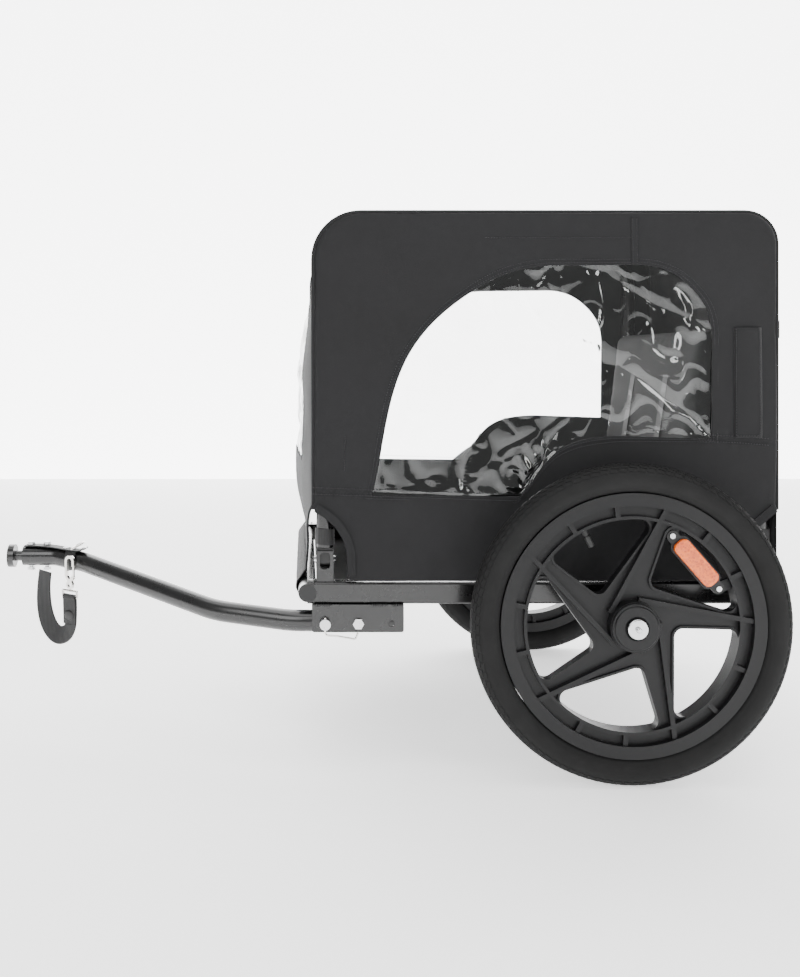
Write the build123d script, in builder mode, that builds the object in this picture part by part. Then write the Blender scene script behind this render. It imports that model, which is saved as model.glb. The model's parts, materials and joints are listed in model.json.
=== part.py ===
# Two-wheeled child bicycle trailer: folding cabin on a tube frame, quick-release wheels, folding tow bar.
# Millimetres. +Z up, -X towards the bicycle, -Y is the trailer's left. Origin: centre of the box, on the ground.
import os
from math import cos, radians, sin, sqrt

from build123d import *

os.makedirs("parts", exist_ok=True)

# ---- driving dimensions -------------------------------------------------------------------------------------
tyre_r = 200.0  # rolling radius, a 16 inch tyre
tyre_w = 44.0
track = 640.0  # between the wheels' centre planes
hitch_reach = 837.0  # axle to the face of the hitch stub
rail_outer = 266.0  # centre plane to the outside of a side rail
rail_w = 26.0
rail_h = 28.0
rail_wall = 2.0
cabin_front = 396.0  # axle to the outside of the front cover
cabin_rear = 208.0  # axle to the outside of the rear cover
cabin_top = 724.0
cloth = 2.5  # covers with their lining and bindings
tube_r = 11.75  # cross tubes
tube_wall = 2.0
axle_tube_r = 12.5
axle_tube_wall = 2.5
axle_r = 6.0
hub_r = 31.0
hoop_r = 11.0
hoop_wall = 1.5
bar_r = 14.0  # tow bar
bar_wall = 2.0
running = 0.05  # radial clearance of a pin that turns
gap = 0.3  # between bodies that move past each other
seat_gap = 0.2  # between fixed pieces that lie together
zip_tape = 1.0
zip_teeth = 1.6
slider_t = 3.0
pull_pin_out = 5.6  # from the slider's back to the pin of its pull
pull_t = 1.6
rear_reach = cabin_rear + zip_tape + zip_teeth + gap + pull_pin_out + pull_t / 2

axle_x = (hitch_reach - rear_reach) / 2
axle_z = tyre_r
rail_z0 = axle_z + axle_tube_r
rail_z1 = rail_z0 + rail_h
rail_mid_z = (rail_z0 + rail_z1) / 2
rail_inner = rail_outer - rail_w
rail_y = rail_outer - rail_w / 2
front_tube_x = axle_x - cabin_front - 8
rear_tube_x = axle_x + cabin_rear - 8


def save(part, name):
    """Label a finished piece and write its STEP file."""
    part.label = name
    export_step(part, f"parts/{name}.step")


def across(y):
    """A plane at this Y, looking along -Y, with X to the right and Z up."""
    return Plane(origin=(0, y, 0), x_dir=(1, 0, 0), z_dir=(0, -1, 0))


# ---- base frame ---------------------------------------------------------------------------------------------
# Rectangular side rails, coped at both ends to the cross tubes that they are welded to.
for side, name in ((-1, "left_side_rail"), (1, "right_side_rail")):
    with BuildPart() as rail:
        with BuildSketch(Plane.YZ.offset(front_tube_x)):
            with Locations((side * rail_y, rail_mid_z)):
                RectangleRounded(rail_w, rail_h, 3)
                Rectangle(rail_w - 2 * rail_wall, rail_h - 2 * rail_wall, mode=Mode.SUBTRACT)
        extrude(amount=rear_tube_x - front_tube_x)
        for x in (front_tube_x, rear_tube_x):
            with Locations(Location((x, 0, rail_mid_z), (90, 0, 0))):
                Cylinder(tube_r + 0.02, 2 * rail_outer + 10, mode=Mode.SUBTRACT)
    save(rail.part, name)

plug_head = 2.0
plug_depth = 12.0
tube_length = 2 * (rail_outer - plug_head)
for x, name in ((front_tube_x, "front_cross_tube"), (rear_tube_x, "rear_cross_tube")):
    with BuildPart() as tube:
        with BuildSketch(across(tube_length / 2)):
            with Locations((x, rail_mid_z)):
                Circle(tube_r)
                Circle(tube_r - tube_wall, mode=Mode.SUBTRACT)
        extrude(amount=tube_length)
    save(tube.part, name)

# Moulded plugs that close the four open tube ends.
with BuildPart() as plugs:
    for side in (-1, 1):
        for x in (front_tube_x, rear_tube_x):
            face = Plane(origin=(x, side * rail_outer, rail_mid_z), x_dir=(1, 0, 0), z_dir=(0, -side, 0))
            with BuildSketch(face):
                Circle(tube_r)
            extrude(amount=plug_head)
            with BuildSketch(face):
                Circle(tube_r - tube_wall - running)
                Circle(tube_r - tube_wall - 2, mode=Mode.SUBTRACT)
            extrude(amount=plug_head + plug_depth)
save(plugs.part, "tube_end_plugs")

# The axle tube runs under the rails and holds a receptacle for a quick-release axle at each end.
hub_half = 30.0
receptacle_flange = 4.0
receptacle_depth = 56.0
hub_inner_y = track / 2 - hub_half
axle_tube_end = hub_inner_y - 3 - receptacle_flange
with BuildPart() as axle_tube:
    with BuildSketch(across(axle_tube_end)):
        with Locations((axle_x, axle_z)):
            Circle(axle_tube_r)
            Circle(axle_tube_r - axle_tube_wall, mode=Mode.SUBTRACT)
    extrude(amount=2 * axle_tube_end)
save(axle_tube.part, "axle_cross_tube")

with BuildPart() as receptacles:
    for side in (-1, 1):
        outside = Plane(
            origin=(axle_x, side * (axle_tube_end + receptacle_flange), axle_z),
            x_dir=(1, 0, 0),
            z_dir=(0, -side, 0),
        )
        with BuildSketch(outside):
            Circle(axle_tube_r)
        extrude(amount=receptacle_flange)
        with BuildSketch(outside):
            Circle(axle_tube_r - axle_tube_wall - running)
        extrude(amount=receptacle_flange + receptacle_depth)
        with BuildSketch(outside):
            Circle(axle_r + running)
        extrude(amount=receptacle_flange + receptacle_depth, mode=Mode.SUBTRACT)
save(receptacles.part, "axle_receptacles")

# ---- upright hoops and their hinges -------------------------------------------------------------------------
# Each side of the cabin is a bent hoop that hinges inward at two brackets on its rail. The right hinge is set
# lower and its hoop is narrower, so that the left hoop can lie over it when both are folded.
pivot_y = rail_outer - 17
left_pivot_z = rail_z1 + 27.2
right_pivot_drop = 16.0
hoop_top_z = cabin_top - cloth - 1 - hoop_r
leg_front_x = axle_x - cabin_front + 15
leg_rear_x = axle_x + cabin_rear - 18
nest = 2 * hoop_r + 4  # how much further in each leg of the right hoop stands
bolt_r = 3.0
foot_w = 20.0
foot_drop = 10.0
bracket_w = 22.5
bracket_wall = (bracket_w - foot_w) / 2 - 0.15
plate_rise = 12.6  # low enough for the end of a leg to swing over
sides = {
    "left": (-1, left_pivot_z, leg_front_x, leg_rear_x),
    "right": (1, left_pivot_z - right_pivot_drop, leg_front_x + nest, leg_rear_x - nest),
}

with BuildPart() as brackets:
    for side, pivot_z, front_x, rear_x in sides.values():
        web_y = side * (pivot_y + foot_w / 2 + 1)
        mouth_y = side * (pivot_y - foot_w / 2)
        plate_top = pivot_z + plate_rise
        for x in (front_x, rear_x):
            low, high = sorted((web_y + side * 2, mouth_y))
            with BuildSketch(Plane.XY.offset(rail_z1)):
                with Locations((x, (low + high) / 2)):
                    Rectangle(bracket_w, high - low)
                with Locations((x, (web_y + mouth_y) / 2 - side)):
                    Rectangle(bracket_w - 2 * bracket_wall, abs(web_y - mouth_y) + 2, mode=Mode.SUBTRACT)
            extrude(amount=plate_top - rail_z1)
            with BuildSketch(across(web_y + side * 3)):
                with Locations((x, pivot_z)):
                    RectangleRounded(13, 22, 5)
            extrude(amount=side * 4, mode=Mode.SUBTRACT)
            with Locations(Location((x, side * pivot_y, pivot_z), (0, 90, 0))):
                Cylinder(bolt_r + running, bracket_w + 10, mode=Mode.SUBTRACT)
save(brackets.part, "hinge_brackets")

with BuildPart() as hinge_bolts:
    for side, pivot_z, front_x, rear_x in sides.values():
        for x in (front_x, rear_x):
            with Locations(Location((x, side * pivot_y, pivot_z), (0, 90, 0))):
                Cylinder(bolt_r, bracket_w + 2)
            for end in (-1, 1):
                tip = Plane(
                    origin=(x + end * bracket_w / 2, side * pivot_y, pivot_z),
                    x_dir=(0, 0, 1),
                    z_dir=(end, 0, 0),
                )
                with BuildSketch(tip):
                    Circle(5.2)
                extrude(amount=3, taper=25)
save(hinge_bolts.part, "hinge_bolts")

for name, (side, pivot_z, front_x, rear_x) in sides.items():
    y = side * pivot_y
    leg_start = pivot_z + 16
    with BuildPart() as hoop:
        with BuildLine():
            FilletPolyline(
                (front_x, y, leg_start),
                (front_x, y, hoop_top_z),
                (rear_x, y, hoop_top_z),
                (rear_x, y, leg_start),
                radius=(55, 55),
            )
        with BuildSketch(Plane(origin=(front_x, y, leg_start), z_dir=(0, 0, 1))):
            Circle(hoop_r)
            Circle(hoop_r - hoop_wall, mode=Mode.SUBTRACT)
        sweep()
    save(hoop.part, f"{name}_hoop")

    # A square foot is plugged into each leg and turns on the hinge bolt.
    with BuildPart() as feet:
        for x in (front_x, rear_x):
            with BuildSketch(Plane.YZ.offset(x - foot_w / 2)):
                with Locations((y, pivot_z)):
                    Circle(foot_drop)
                with Locations((y, (pivot_z + leg_start) / 2)):
                    Rectangle(foot_w, leg_start - pivot_z)
            extrude(amount=foot_w)
            with BuildSketch(Plane.XY.offset(leg_start)):
                with Locations((x, y)):
                    Circle(hoop_r - hoop_wall - running)
            extrude(amount=25)
            with Locations(Location((x, y, pivot_z), (0, 90, 0))):
                Cylinder(bolt_r + running, foot_w + 10, mode=Mode.SUBTRACT)
    save(feet.part, f"{name}_hoop_feet")

# ---- cabin covers -------------------------------------------------------------------------------------------
panel_y = pivot_y + foot_w / 2 + 4  # inside face of a side panel
panel_top = cabin_top - 12
panel_front = axle_x - cabin_front + cloth + 1
panel_rear = axle_x + cabin_rear - cloth - 1
panel_z0 = rail_z1 + 1.3
corner_front = 60.0
corner_rear = 42.0
notch_w = 45.0  # lower corners are cut away round the hinges
notch_h = 92.0


def window_outline():
    """Clear window: level sill that steps up over the wheel, rounded rear corner, long curve at the front."""
    with BuildLine() as outline:
        sill = Line((axle_x - 320, 354), (axle_x - 128, 352))
        step = Spline(sill @ 1, (axle_x - 80, 411), (axle_x + 2, 431), tangents=((1, 1.2), (1, 0.02)))
        shelf = Line(step @ 1, (axle_x + 120, 427))
        rear = Line(shelf @ 1, (axle_x + 121, 560))
        corner = Spline(rear @ 1, (axle_x + 94, 624), (axle_x + 24, 653), tangents=((0, 1), (-1, 0)))
        top = Line(corner @ 1, (axle_x - 84, 652))
        Spline(
            top @ 1,
            (axle_x - 189, 619),
            (axle_x - 272, 537),
            (axle_x - 309, 406),
            sill @ 0,
            tangents=((-1, 0), (-0.25, -1)),
        )
    return make_face(outline.edges())


def panel_outline(front, rear, bottom, top, notch):
    """Side of the cabin with rounded upper corners and notched lower corners."""
    with BuildSketch() as outline:
        with BuildLine():
            FilletPolyline(
                (rear - notch, bottom),
                (rear - notch, bottom + notch_h - 20),
                (rear, bottom + notch_h),
                (rear, top),
                (front, top),
                (front, bottom + notch_h),
                (front + notch, bottom + notch_h - 20),
                (front + notch, bottom),
                radius=(25, 6, corner_rear, corner_front, 6, 25),
            )
            Line((front + notch, bottom), (rear - notch, bottom))
        make_face()
    return outline.sketch


for name, side in (("left", -1), ("right", 1)):
    outer_y = side * (panel_y + cloth)
    facing = Plane(origin=(0, outer_y, 0), x_dir=(1, 0, 0), z_dir=(0, -1, 0))
    inward = cloth * side
    notch = notch_w if side < 0 else notch_w + nest
    with BuildPart() as panel:
        with BuildSketch(facing):
            add(panel_outline(panel_front, panel_rear, panel_z0, panel_top, notch))
            add(window_outline(), mode=Mode.SUBTRACT)
        extrude(amount=inward)
    save(panel.part, f"{name}_side_panel")
    with BuildPart() as window:
        with BuildSketch(facing.offset(inward / 3)):
            add(window_outline())
        extrude(amount=inward / 3)
    save(window.part, f"{name}_side_window")

# Roof: one sheet with rounded front and rear edges and a short valance over the top of each side panel.
roof_y = panel_y + cloth + 0.5
front_plane_x = axle_x - cabin_front
rear_plane_x = axle_x + cabin_rear
valance = 26.0
with BuildPart() as roof:
    with BuildSketch(across(roof_y)):
        with BuildLine():
            outer = FilletPolyline(
                (front_plane_x, cabin_top - corner_front - 6),
                (front_plane_x, cabin_top),
                (rear_plane_x, cabin_top),
                (rear_plane_x, cabin_top - corner_rear - 6),
                radius=(corner_front, corner_rear),
            )
            inner = FilletPolyline(
                (rear_plane_x - cloth, cabin_top - corner_rear - 6),
                (rear_plane_x - cloth, cabin_top - cloth),
                (front_plane_x + cloth, cabin_top - cloth),
                (front_plane_x + cloth, cabin_top - corner_front - 6),
                radius=(corner_rear - cloth, corner_front - cloth),
            )
            Line(outer @ 1, inner @ 0)
            Line(inner @ 1, outer @ 0)
        make_face()
    extrude(amount=2 * roof_y)
    for y in (roof_y + cloth, -roof_y):
        with BuildSketch(across(y)):
            with BuildLine():
                FilletPolyline(
                    (front_plane_x, cabin_top - corner_front - 6),
                    (front_plane_x, cabin_top),
                    (rear_plane_x, cabin_top),
                    (rear_plane_x, cabin_top - corner_rear - 6),
                    radius=(corner_front, corner_rear),
                )
                FilletPolyline(
                    (rear_plane_x, cabin_top - corner_rear - 6),
                    (rear_plane_x - valance, cabin_top - corner_rear - 6),
                    (rear_plane_x - valance, cabin_top - valance),
                    (front_plane_x + valance, cabin_top - valance),
                    (front_plane_x + valance, cabin_top - corner_front - 6),
                    (front_plane_x, cabin_top - corner_front - 6),
                    radius=(2, 18, 34, 2),
                )
            make_face()
        extrude(amount=cloth)
save(roof.part, "roof_cover")

# Front cover with its clear window above and mesh below; rear cover with the zip along its left edge.
cover_y = panel_y - 1
cover_z0 = rail_z1 + 12
front_window_w = 2 * cover_y - 120
front_window_z0 = 395.0
front_window_z1 = cabin_top - corner_front - 30
with BuildPart() as front_cover:
    with BuildSketch(Plane.YZ.offset(front_plane_x)):
        with BuildLine():
            FilletPolyline(
                (-cover_y, cabin_top - corner_front - 7),
                (-cover_y, cover_z0 + 80),
                (notch_w - cover_y, cover_z0 + 60),
                (notch_w - cover_y, cover_z0),
                (cover_y - notch_w, cover_z0),
                (cover_y - notch_w, cover_z0 + 60),
                (cover_y, cover_z0 + 80),
                (cover_y, cabin_top - corner_front - 7),
                radius=(6, 20, 4, 4, 20, 6),
            )
            Line((cover_y, cabin_top - corner_front - 7), (-cover_y, cabin_top - corner_front - 7))
        make_face()
        with Locations((0, (front_window_z0 + front_window_z1) / 2)):
            RectangleRounded(front_window_w, front_window_z1 - front_window_z0, 40, mode=Mode.SUBTRACT)
    extrude(amount=cloth)
save(front_cover.part, "front_cover")

with BuildPart() as front_window:
    with BuildSketch(Plane.YZ.offset(front_plane_x + cloth / 3)):
        with Locations((0, (front_window_z0 + front_window_z1) / 2)):
            RectangleRounded(
                front_window_w - 2 * seat_gap, front_window_z1 - front_window_z0 - 2 * seat_gap, 40 - seat_gap
            )
    extrude(amount=cloth / 3)
save(front_window.part, "front_window")

with BuildPart() as rear_cover:
    with BuildSketch(Plane.YZ.offset(rear_plane_x - cloth)):
        with Locations((0, (cover_z0 + cabin_top - corner_rear - 7) / 2)):
            RectangleRounded(2 * cover_y, cabin_top - corner_rear - 7 - cover_z0, 12)
    extrude(amount=cloth)
save(rear_cover.part, "rear_cover")

# ---- zip ----------------------------------------------------------------------------------------------------
zip_y = -(cover_y - 18)
zip_w = 26.0
zip_top = cabin_top - corner_rear - 20
zip_bottom = cover_z0 + 15
slider_z = 580.0
slider_h = 16.0
with BuildPart() as zip_strip:
    with Locations((rear_plane_x + zip_tape / 2, zip_y, (zip_top + zip_bottom) / 2)):
        Box(zip_tape, zip_w, zip_top - zip_bottom)
    with Locations((rear_plane_x + zip_tape + zip_teeth / 2, zip_y, (zip_top + zip_bottom) / 2)):
        Box(zip_teeth, 6, zip_top - zip_bottom)
save(zip_strip.part, "rear_zip_tape")

slider_x = rear_plane_x + zip_tape + zip_teeth + gap
pull_pin_x = slider_x + pull_pin_out
with BuildPart() as slider:
    with BuildSketch(Plane.YZ.offset(slider_x)):
        with Locations((zip_y, slider_z)):
            RectangleRounded(10, slider_h, 3)
    extrude(amount=slider_t)
    fillet(slider.faces().sort_by(Axis.X)[-1].edges(), 0.8)
    with Locations(((slider_x + slider_t + pull_pin_x) / 2, zip_y, slider_z)):
        Box(pull_pin_x - slider_x - slider_t + 2.8, 2.4, 4)
    with Locations(Location((pull_pin_x, zip_y, slider_z), (90, 0, 0))):
        Cylinder(0.8 + running, 6, mode=Mode.SUBTRACT)
save(slider.part, "zip_slider")

pull_length = 24.0
with BuildPart() as pull:
    with BuildSketch(Plane.YZ.offset(pull_pin_x - pull_t / 2)):
        with Locations((zip_y, slider_z - pull_length / 2 + 2)):
            RectangleRounded(8, pull_length, 2.5)
        with Locations((zip_y, slider_z)):
            Rectangle(3.2, 7.4, mode=Mode.SUBTRACT)
    extrude(amount=pull_t)
    with Locations(Location((pull_pin_x, zip_y, slider_z), (90, 0, 0))):
        Cylinder(0.8, 3.2)
save(pull.part, "zip_pull")

# ---- floor, seat and harness --------------------------------------------------------------------------------
floor_front = front_tube_x + tube_r + 2
floor_rear = rear_tube_x - tube_r - 2
floor_t = 3.0
floor_z = rail_z0 + 1
with BuildPart() as floor:
    with Locations(((floor_front + floor_rear) / 2, 0, floor_z + floor_t / 2)):
        Box(floor_rear - floor_front, 2 * (rail_inner - seat_gap), floor_t)
save(floor.part, "floor_sheet")

seat_w = 2 * rail_inner - 60
seat_t = 24.0
seat_front = axle_x - 70
seat_rear = axle_x + 165
seat_z = floor_z + floor_t + seat_gap
with BuildPart() as seat_base:
    with Locations(((seat_front + seat_rear) / 2, 0, seat_z + seat_t / 2)):
        Box(seat_rear - seat_front, seat_w, seat_t)
    fillet(seat_base.edges().filter_by(Axis.Y).group_by(Axis.Z)[-1], 8)
save(seat_base.part, "seat_base")

back_t = 30.0
back_bottom = seat_z + seat_t + 1
back_top = 575.0
back_foot_x = axle_x + 108
back_head_x = axle_x + 150
with BuildPart() as seat_back:
    with BuildSketch(across(seat_w / 2)):
        with BuildLine():
            FilletPolyline(
                (back_foot_x - back_t / 2, back_bottom),
                (back_foot_x + back_t / 2, back_bottom),
                (back_head_x + back_t / 2, back_top),
                (back_head_x - back_t / 2, back_top),
                radius=12,
                close=True,
            )
        make_face()
    extrude(amount=seat_w)
save(seat_back.part, "seat_back")

strap_w = 25.0
strap_t = 2.0
lean = (back_head_x - back_foot_x) / (back_top - back_bottom)
with BuildPart() as harness:
    for y in (-80, 80):
        with BuildSketch(across(y + strap_w / 2)):
            with BuildLine():
                x0 = back_foot_x - back_t / 2 - 1
                Polyline(
                    (x0 + lean * 20, back_bottom + 20),
                    (x0 + lean * 290, back_bottom + 290),
                    (x0 + lean * 290 - strap_t, back_bottom + 290),
                    (x0 + lean * 20 - strap_t, back_bottom + 20),
                    close=True,
                )
            make_face()
        extrude(amount=strap_w)
save(harness.part, "harness_straps")

with BuildPart() as buckle:
    with Locations((axle_x - 5, 0, seat_z + seat_t + 8)):
        Box(52, 36, 14)
    fillet(buckle.edges().filter_by(Axis.Z), 10)
    fillet(buckle.faces().sort_by(Axis.Z)[-1].edges(), 3)
save(buckle.part, "harness_buckle")

# ---- wheels -------------------------------------------------------------------------------------------------
# Each wheel is the same moulded wheel, turned to face outward. In a wheel's own plane x runs forward or back,
# y runs up and z runs outward, with the hub at the origin.
rim_edge_r = 165.0
bed_r = 156.0
ring_inner_r = 132.0
lip_inner_r = 149.0
rim_half = 16.0
spokes = 5
web_half = 5.0
lip = 3.0
long_rib_end_r = 33.0
long_rib_sweep = 77.0
short_rib_turns = (24.0, 48.0)
rib_start = 2.0
rib_w = 6.0
bearing_r = 14.0
bearing_w = 10.0
hub_outer = 22.0  # wheel plane to the outside of the hub barrel
reflector_ends = ((49.6, 110.7), (107.2, 45.0))
reflector_mid = ((49.6 + 107.2) / 2, (110.7 + 45.0) / 2)
reflector_tilt = -48.8
valve_angle = 116.8


def wheel_plane(side, out=0.0):
    """The wheel's own plane on this side, moved outward."""
    return Plane(
        origin=(axle_x, side * (track / 2 + out), axle_z), x_dir=(-side, 0, 0), z_dir=(0, side, 0)
    )


def valve_plane(side, r):
    """Across the valve's axis, r from the hub, facing the rim."""
    axis = (-side * cos(radians(valve_angle)), 0, sin(radians(valve_angle)))
    return Plane(origin=wheel_plane(side).origin, z_dir=axis).offset(r)


def opening_outline():
    """One rounded three-sided opening between two spokes."""
    start = (52.0, -4.0)
    edge_y = -6.0
    side_x = 51.5
    far = (sqrt(ring_inner_r**2 - edge_y**2), edge_y)
    low = (side_x, -sqrt(ring_inner_r**2 - side_x**2))
    mid = (ring_inner_r * cos(radians(-34)), ring_inner_r * sin(radians(-34)))
    with BuildSketch() as outline:
        with BuildLine():
            Line(start, far)
            ThreePointArc(far, mid, low)
            Line(low, start)
        make_face()
        fillet(outline.vertices(), 11)
    return outline.sketch


def grown_opening(by):
    """The same outline, larger all round."""
    with BuildSketch() as outline:
        add(opening_outline())
        offset(amount=by, mode=Mode.REPLACE)
    return outline.sketch


for name, side in (("left", -1), ("right", 1)):
    hub = wheel_plane(side)

    # Tyre: hollow casing with two beads in the rim's bed.
    with BuildPart() as tyre:
        with BuildSketch(Plane(origin=hub.origin, x_dir=(0, side, 0), z_dir=(side, 0, 0))):
            with BuildLine():
                half = tyre_w / 2
                bead = rim_half - 3.2
                belly_r = tyre_r - 17
                shoulder = (tyre_w * 0.36, tyre_r - 4)
                inner_shoulder = (shoulder[0] - 3, shoulder[1] - 3)
                foot_r = bed_r + seat_gap
                base_r = rim_edge_r + 0.6
                for end in (-1, 1):
                    ThreePointArc(
                        (end * bead, base_r), (end * half, belly_r), (end * shoulder[0], shoulder[1])
                    )
                    ThreePointArc(
                        (end * (bead - 5), base_r + 2),
                        (end * (half - 3.5), belly_r),
                        (end * inner_shoulder[0], inner_shoulder[1]),
                    )
                    Polyline(
                        (end * bead, base_r),
                        (end * bead, foot_r),
                        (end * (bead - 5), foot_r),
                        (end * (bead - 5), base_r + 2),
                    )
                ThreePointArc((-shoulder[0], shoulder[1]), (0, tyre_r), shoulder)
                ThreePointArc((-inner_shoulder[0], inner_shoulder[1]), (0, tyre_r - 5), inner_shoulder)
            make_face()
        revolve(axis=Axis(hub.origin, (0, 1, 0)))
    save(tyre.part, f"{name}_tyre")

    # Rim: channel section, recessed ring, five-spoke web with raised lips and ribs, and the hub barrel.
    with BuildPart() as rim:
        with BuildSketch(hub.offset(-rim_half)):
            Circle(rim_edge_r)
            Circle(ring_inner_r, mode=Mode.SUBTRACT)
        extrude(amount=2 * rim_half)
        with BuildSketch(hub.offset(-rim_half + 3)):
            Circle(rim_edge_r + 1)
            Circle(bed_r, mode=Mode.SUBTRACT)
        extrude(amount=2 * rim_half - 6, mode=Mode.SUBTRACT)
        for start, reach in ((rim_half + 1, web_half + 1 - rim_half), (-rim_half - 1, rim_half - web_half - 1)):
            with BuildSketch(hub.offset(start)):
                Circle(lip_inner_r)
                Circle(ring_inner_r + 4, mode=Mode.SUBTRACT)
            extrude(amount=reach, mode=Mode.SUBTRACT)
        for start, reach in ((rim_half + 1, -4), (-rim_half - 1, 4)):
            with BuildSketch(hub.offset(start)):
                Circle(ring_inner_r + 5)
            extrude(amount=reach, mode=Mode.SUBTRACT)
        with BuildSketch(hub.offset(-web_half)):
            Circle(ring_inner_r + 2)
        extrude(amount=2 * web_half)
        with BuildSketch(hub.offset(-web_half - lip)):
            with PolarLocations(0, spokes):
                add(grown_opening(lip))
            Circle(ring_inner_r + 2, mode=Mode.INTERSECT)
        extrude(amount=2 * web_half + 2 * lip)
        with BuildSketch(hub.offset(-hub_half)):
            Circle(hub_r)
        extrude(amount=hub_half + hub_outer)
        with BuildSketch(hub.offset(-rim_half + 3)):
            for k in range(spokes):
                turn = rib_start + 360 / spokes * k
                ribs = [(turn, long_rib_end_r, turn + long_rib_sweep)]
                ribs += [(turn + more, ring_inner_r + 1, turn + more) for more in short_rib_turns]
                for start_turn, end_r, end_turn in ribs:
                    start_r = lip_inner_r + 1
                    with BuildLine():
                        Line(
                            (start_r * cos(radians(start_turn)), start_r * sin(radians(start_turn))),
                            (end_r * cos(radians(end_turn)), end_r * sin(radians(end_turn))),
                        )
                    trace(line_width=rib_w)
        extrude(amount=2 * rim_half - 6)
        with BuildSketch(hub.offset(-rim_half - 2)):
            with PolarLocations(0, spokes):
                add(opening_outline())
        extrude(amount=2 * rim_half + 4, mode=Mode.SUBTRACT)
        with BuildSketch(hub.offset(web_half - 6)):
            for x, y in reflector_ends:
                r = sqrt(x * x + y * y)
                with BuildLine():
                    Line((x, y), (x * (ring_inner_r + 1) / r, y * (ring_inner_r + 1) / r))
                trace(line_width=13)
                with Locations((x, y)):
                    Circle(6.5)
        extrude(amount=6)
        with BuildSketch(hub.offset(hub_outer)):
            Circle(bearing_r + running)
        extrude(amount=-bearing_w, mode=Mode.SUBTRACT)
        with BuildSketch(hub.offset(-hub_half)):
            Circle(bearing_r + running)
        extrude(amount=bearing_w, mode=Mode.SUBTRACT)
        with BuildSketch(hub.offset(-hub_half)):
            Circle(axle_r + 3)
        extrude(amount=hub_half + hub_outer, mode=Mode.SUBTRACT)
        with BuildSketch(hub.offset(-20)):
            with Locations(reflector_ends):
                Circle(1.8)
        extrude(amount=40, mode=Mode.SUBTRACT)
        with BuildSketch(valve_plane(side, ring_inner_r - 4)):
            Circle(4.6)
        extrude(amount=30, mode=Mode.SUBTRACT)
    save(rim.part, f"{name}_rim")

    with BuildPart() as cap:
        with BuildSketch(hub.offset(hub_outer + seat_gap)):
            Circle(hub_r - 1)
            Circle(axle_r + 3, mode=Mode.SUBTRACT)
        extrude(amount=4)
        with BuildSketch(hub.offset(hub_outer + seat_gap)):
            Circle(hub_r - 4)
            Circle(14, mode=Mode.SUBTRACT)
        extrude(amount=6.5)
    save(cap.part, f"{name}_hub_cap")

    # Sealed bearings, one at each end of the hub, that run on the quick-release axle.
    with BuildPart() as bearings:
        for start, reach in ((hub_outer, -bearing_w), (-hub_half, bearing_w)):
            with BuildSketch(hub.offset(start)):
                Circle(bearing_r)
                Circle(axle_r + running, mode=Mode.SUBTRACT)
            extrude(amount=reach)
    save(bearings.part, f"{name}_wheel_bearings")

    # Quick-release axle: hollow pin with a domed head; the button slides in its bore and frees the balls.
    head_out = hub_outer + 7.5
    head_r = 12.6
    head_t = 3.5
    pin_start = -(track / 2 - axle_tube_end) - 50
    button_r = 3.4
    button_travel = 4.0
    button_length = 30.0
    with BuildPart() as axle:
        with BuildSketch(hub.offset(pin_start)):
            Circle(axle_r)
        extrude(amount=head_out - pin_start)
        with BuildSketch(hub.offset(hub_outer + 0.4)):
            Circle(8.6)
        extrude(amount=head_out - hub_outer - 0.4)
        with BuildSketch(hub.offset(head_out)):
            Circle(head_r)
        extrude(amount=head_t)
        fillet(axle.faces().sort_by(Axis.Y)[0 if side < 0 else -1].edges(), 1.5)
        with BuildSketch(hub.offset(head_out + head_t)):
            Circle(button_r + running)
        extrude(amount=-40, mode=Mode.SUBTRACT)
    save(axle.part, f"{name}_quick_axle")

    with BuildPart() as button:
        with BuildSketch(hub.offset(head_out + head_t - button_length)):
            Circle(button_r)
        extrude(amount=button_length + button_travel + 1)
        fillet(button.faces().sort_by(Axis.Y)[0 if side < 0 else -1].edges(), 1.8)
    save(button.part, f"{name}_axle_button")

    # Wheel reflector: moulded lens on a base plate, screwed to two bosses of the rim.
    boss_z = web_half
    reflector_pitch = sqrt(
        (reflector_ends[1][0] - reflector_ends[0][0]) ** 2 + (reflector_ends[1][1] - reflector_ends[0][1]) ** 2
    )
    with BuildPart() as base:
        with BuildSketch(hub.offset(boss_z + seat_gap)):
            with Locations(Location((*reflector_mid, 0), (0, 0, reflector_tilt))):
                SlotOverall(reflector_pitch + 13, 15)
                RectangleRounded(74, 26, 8)
            with Locations(reflector_ends):
                Circle(1.8, mode=Mode.SUBTRACT)
        extrude(amount=3)
    save(base.part, f"{name}_reflector_base")

    with BuildPart() as lens:
        with BuildSketch(hub.offset(boss_z + seat_gap + 3 + seat_gap)):
            with Locations(Location((*reflector_mid, 0), (0, 0, reflector_tilt))):
                RectangleRounded(68, 22, 8)
        extrude(amount=5)
        fillet(lens.faces().sort_by(Axis.Y)[0 if side < 0 else -1].edges(), 1.5)
    save(lens.part, f"{name}_reflector_lens")

    with BuildPart() as screws:
        for x, y in reflector_ends:
            with BuildSketch(hub.offset(boss_z + seat_gap + 3)):
                with Locations((x, y)):
                    Circle(3.4)
            extrude(amount=1.8)
            with BuildSketch(hub.offset(boss_z + seat_gap + 3)):
                with Locations((x, y)):
                    Circle(1.7)
            extrude(amount=-9)
    save(screws.part, f"{name}_reflector_screws")

    # Air valve: stem through the rim's bed, with a knurled cap.
    with BuildPart() as valve:
        with BuildSketch(valve_plane(side, 112)):
            Circle(2.6)
        extrude(amount=bed_r + 3 - 112)
        with BuildSketch(valve_plane(side, 124)):
            Circle(4)
        extrude(amount=34)
        with BuildSketch(valve_plane(side, 108)):
            Circle(4)
        extrude(amount=14)
    save(valve.part, f"{name}_air_valve")

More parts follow.
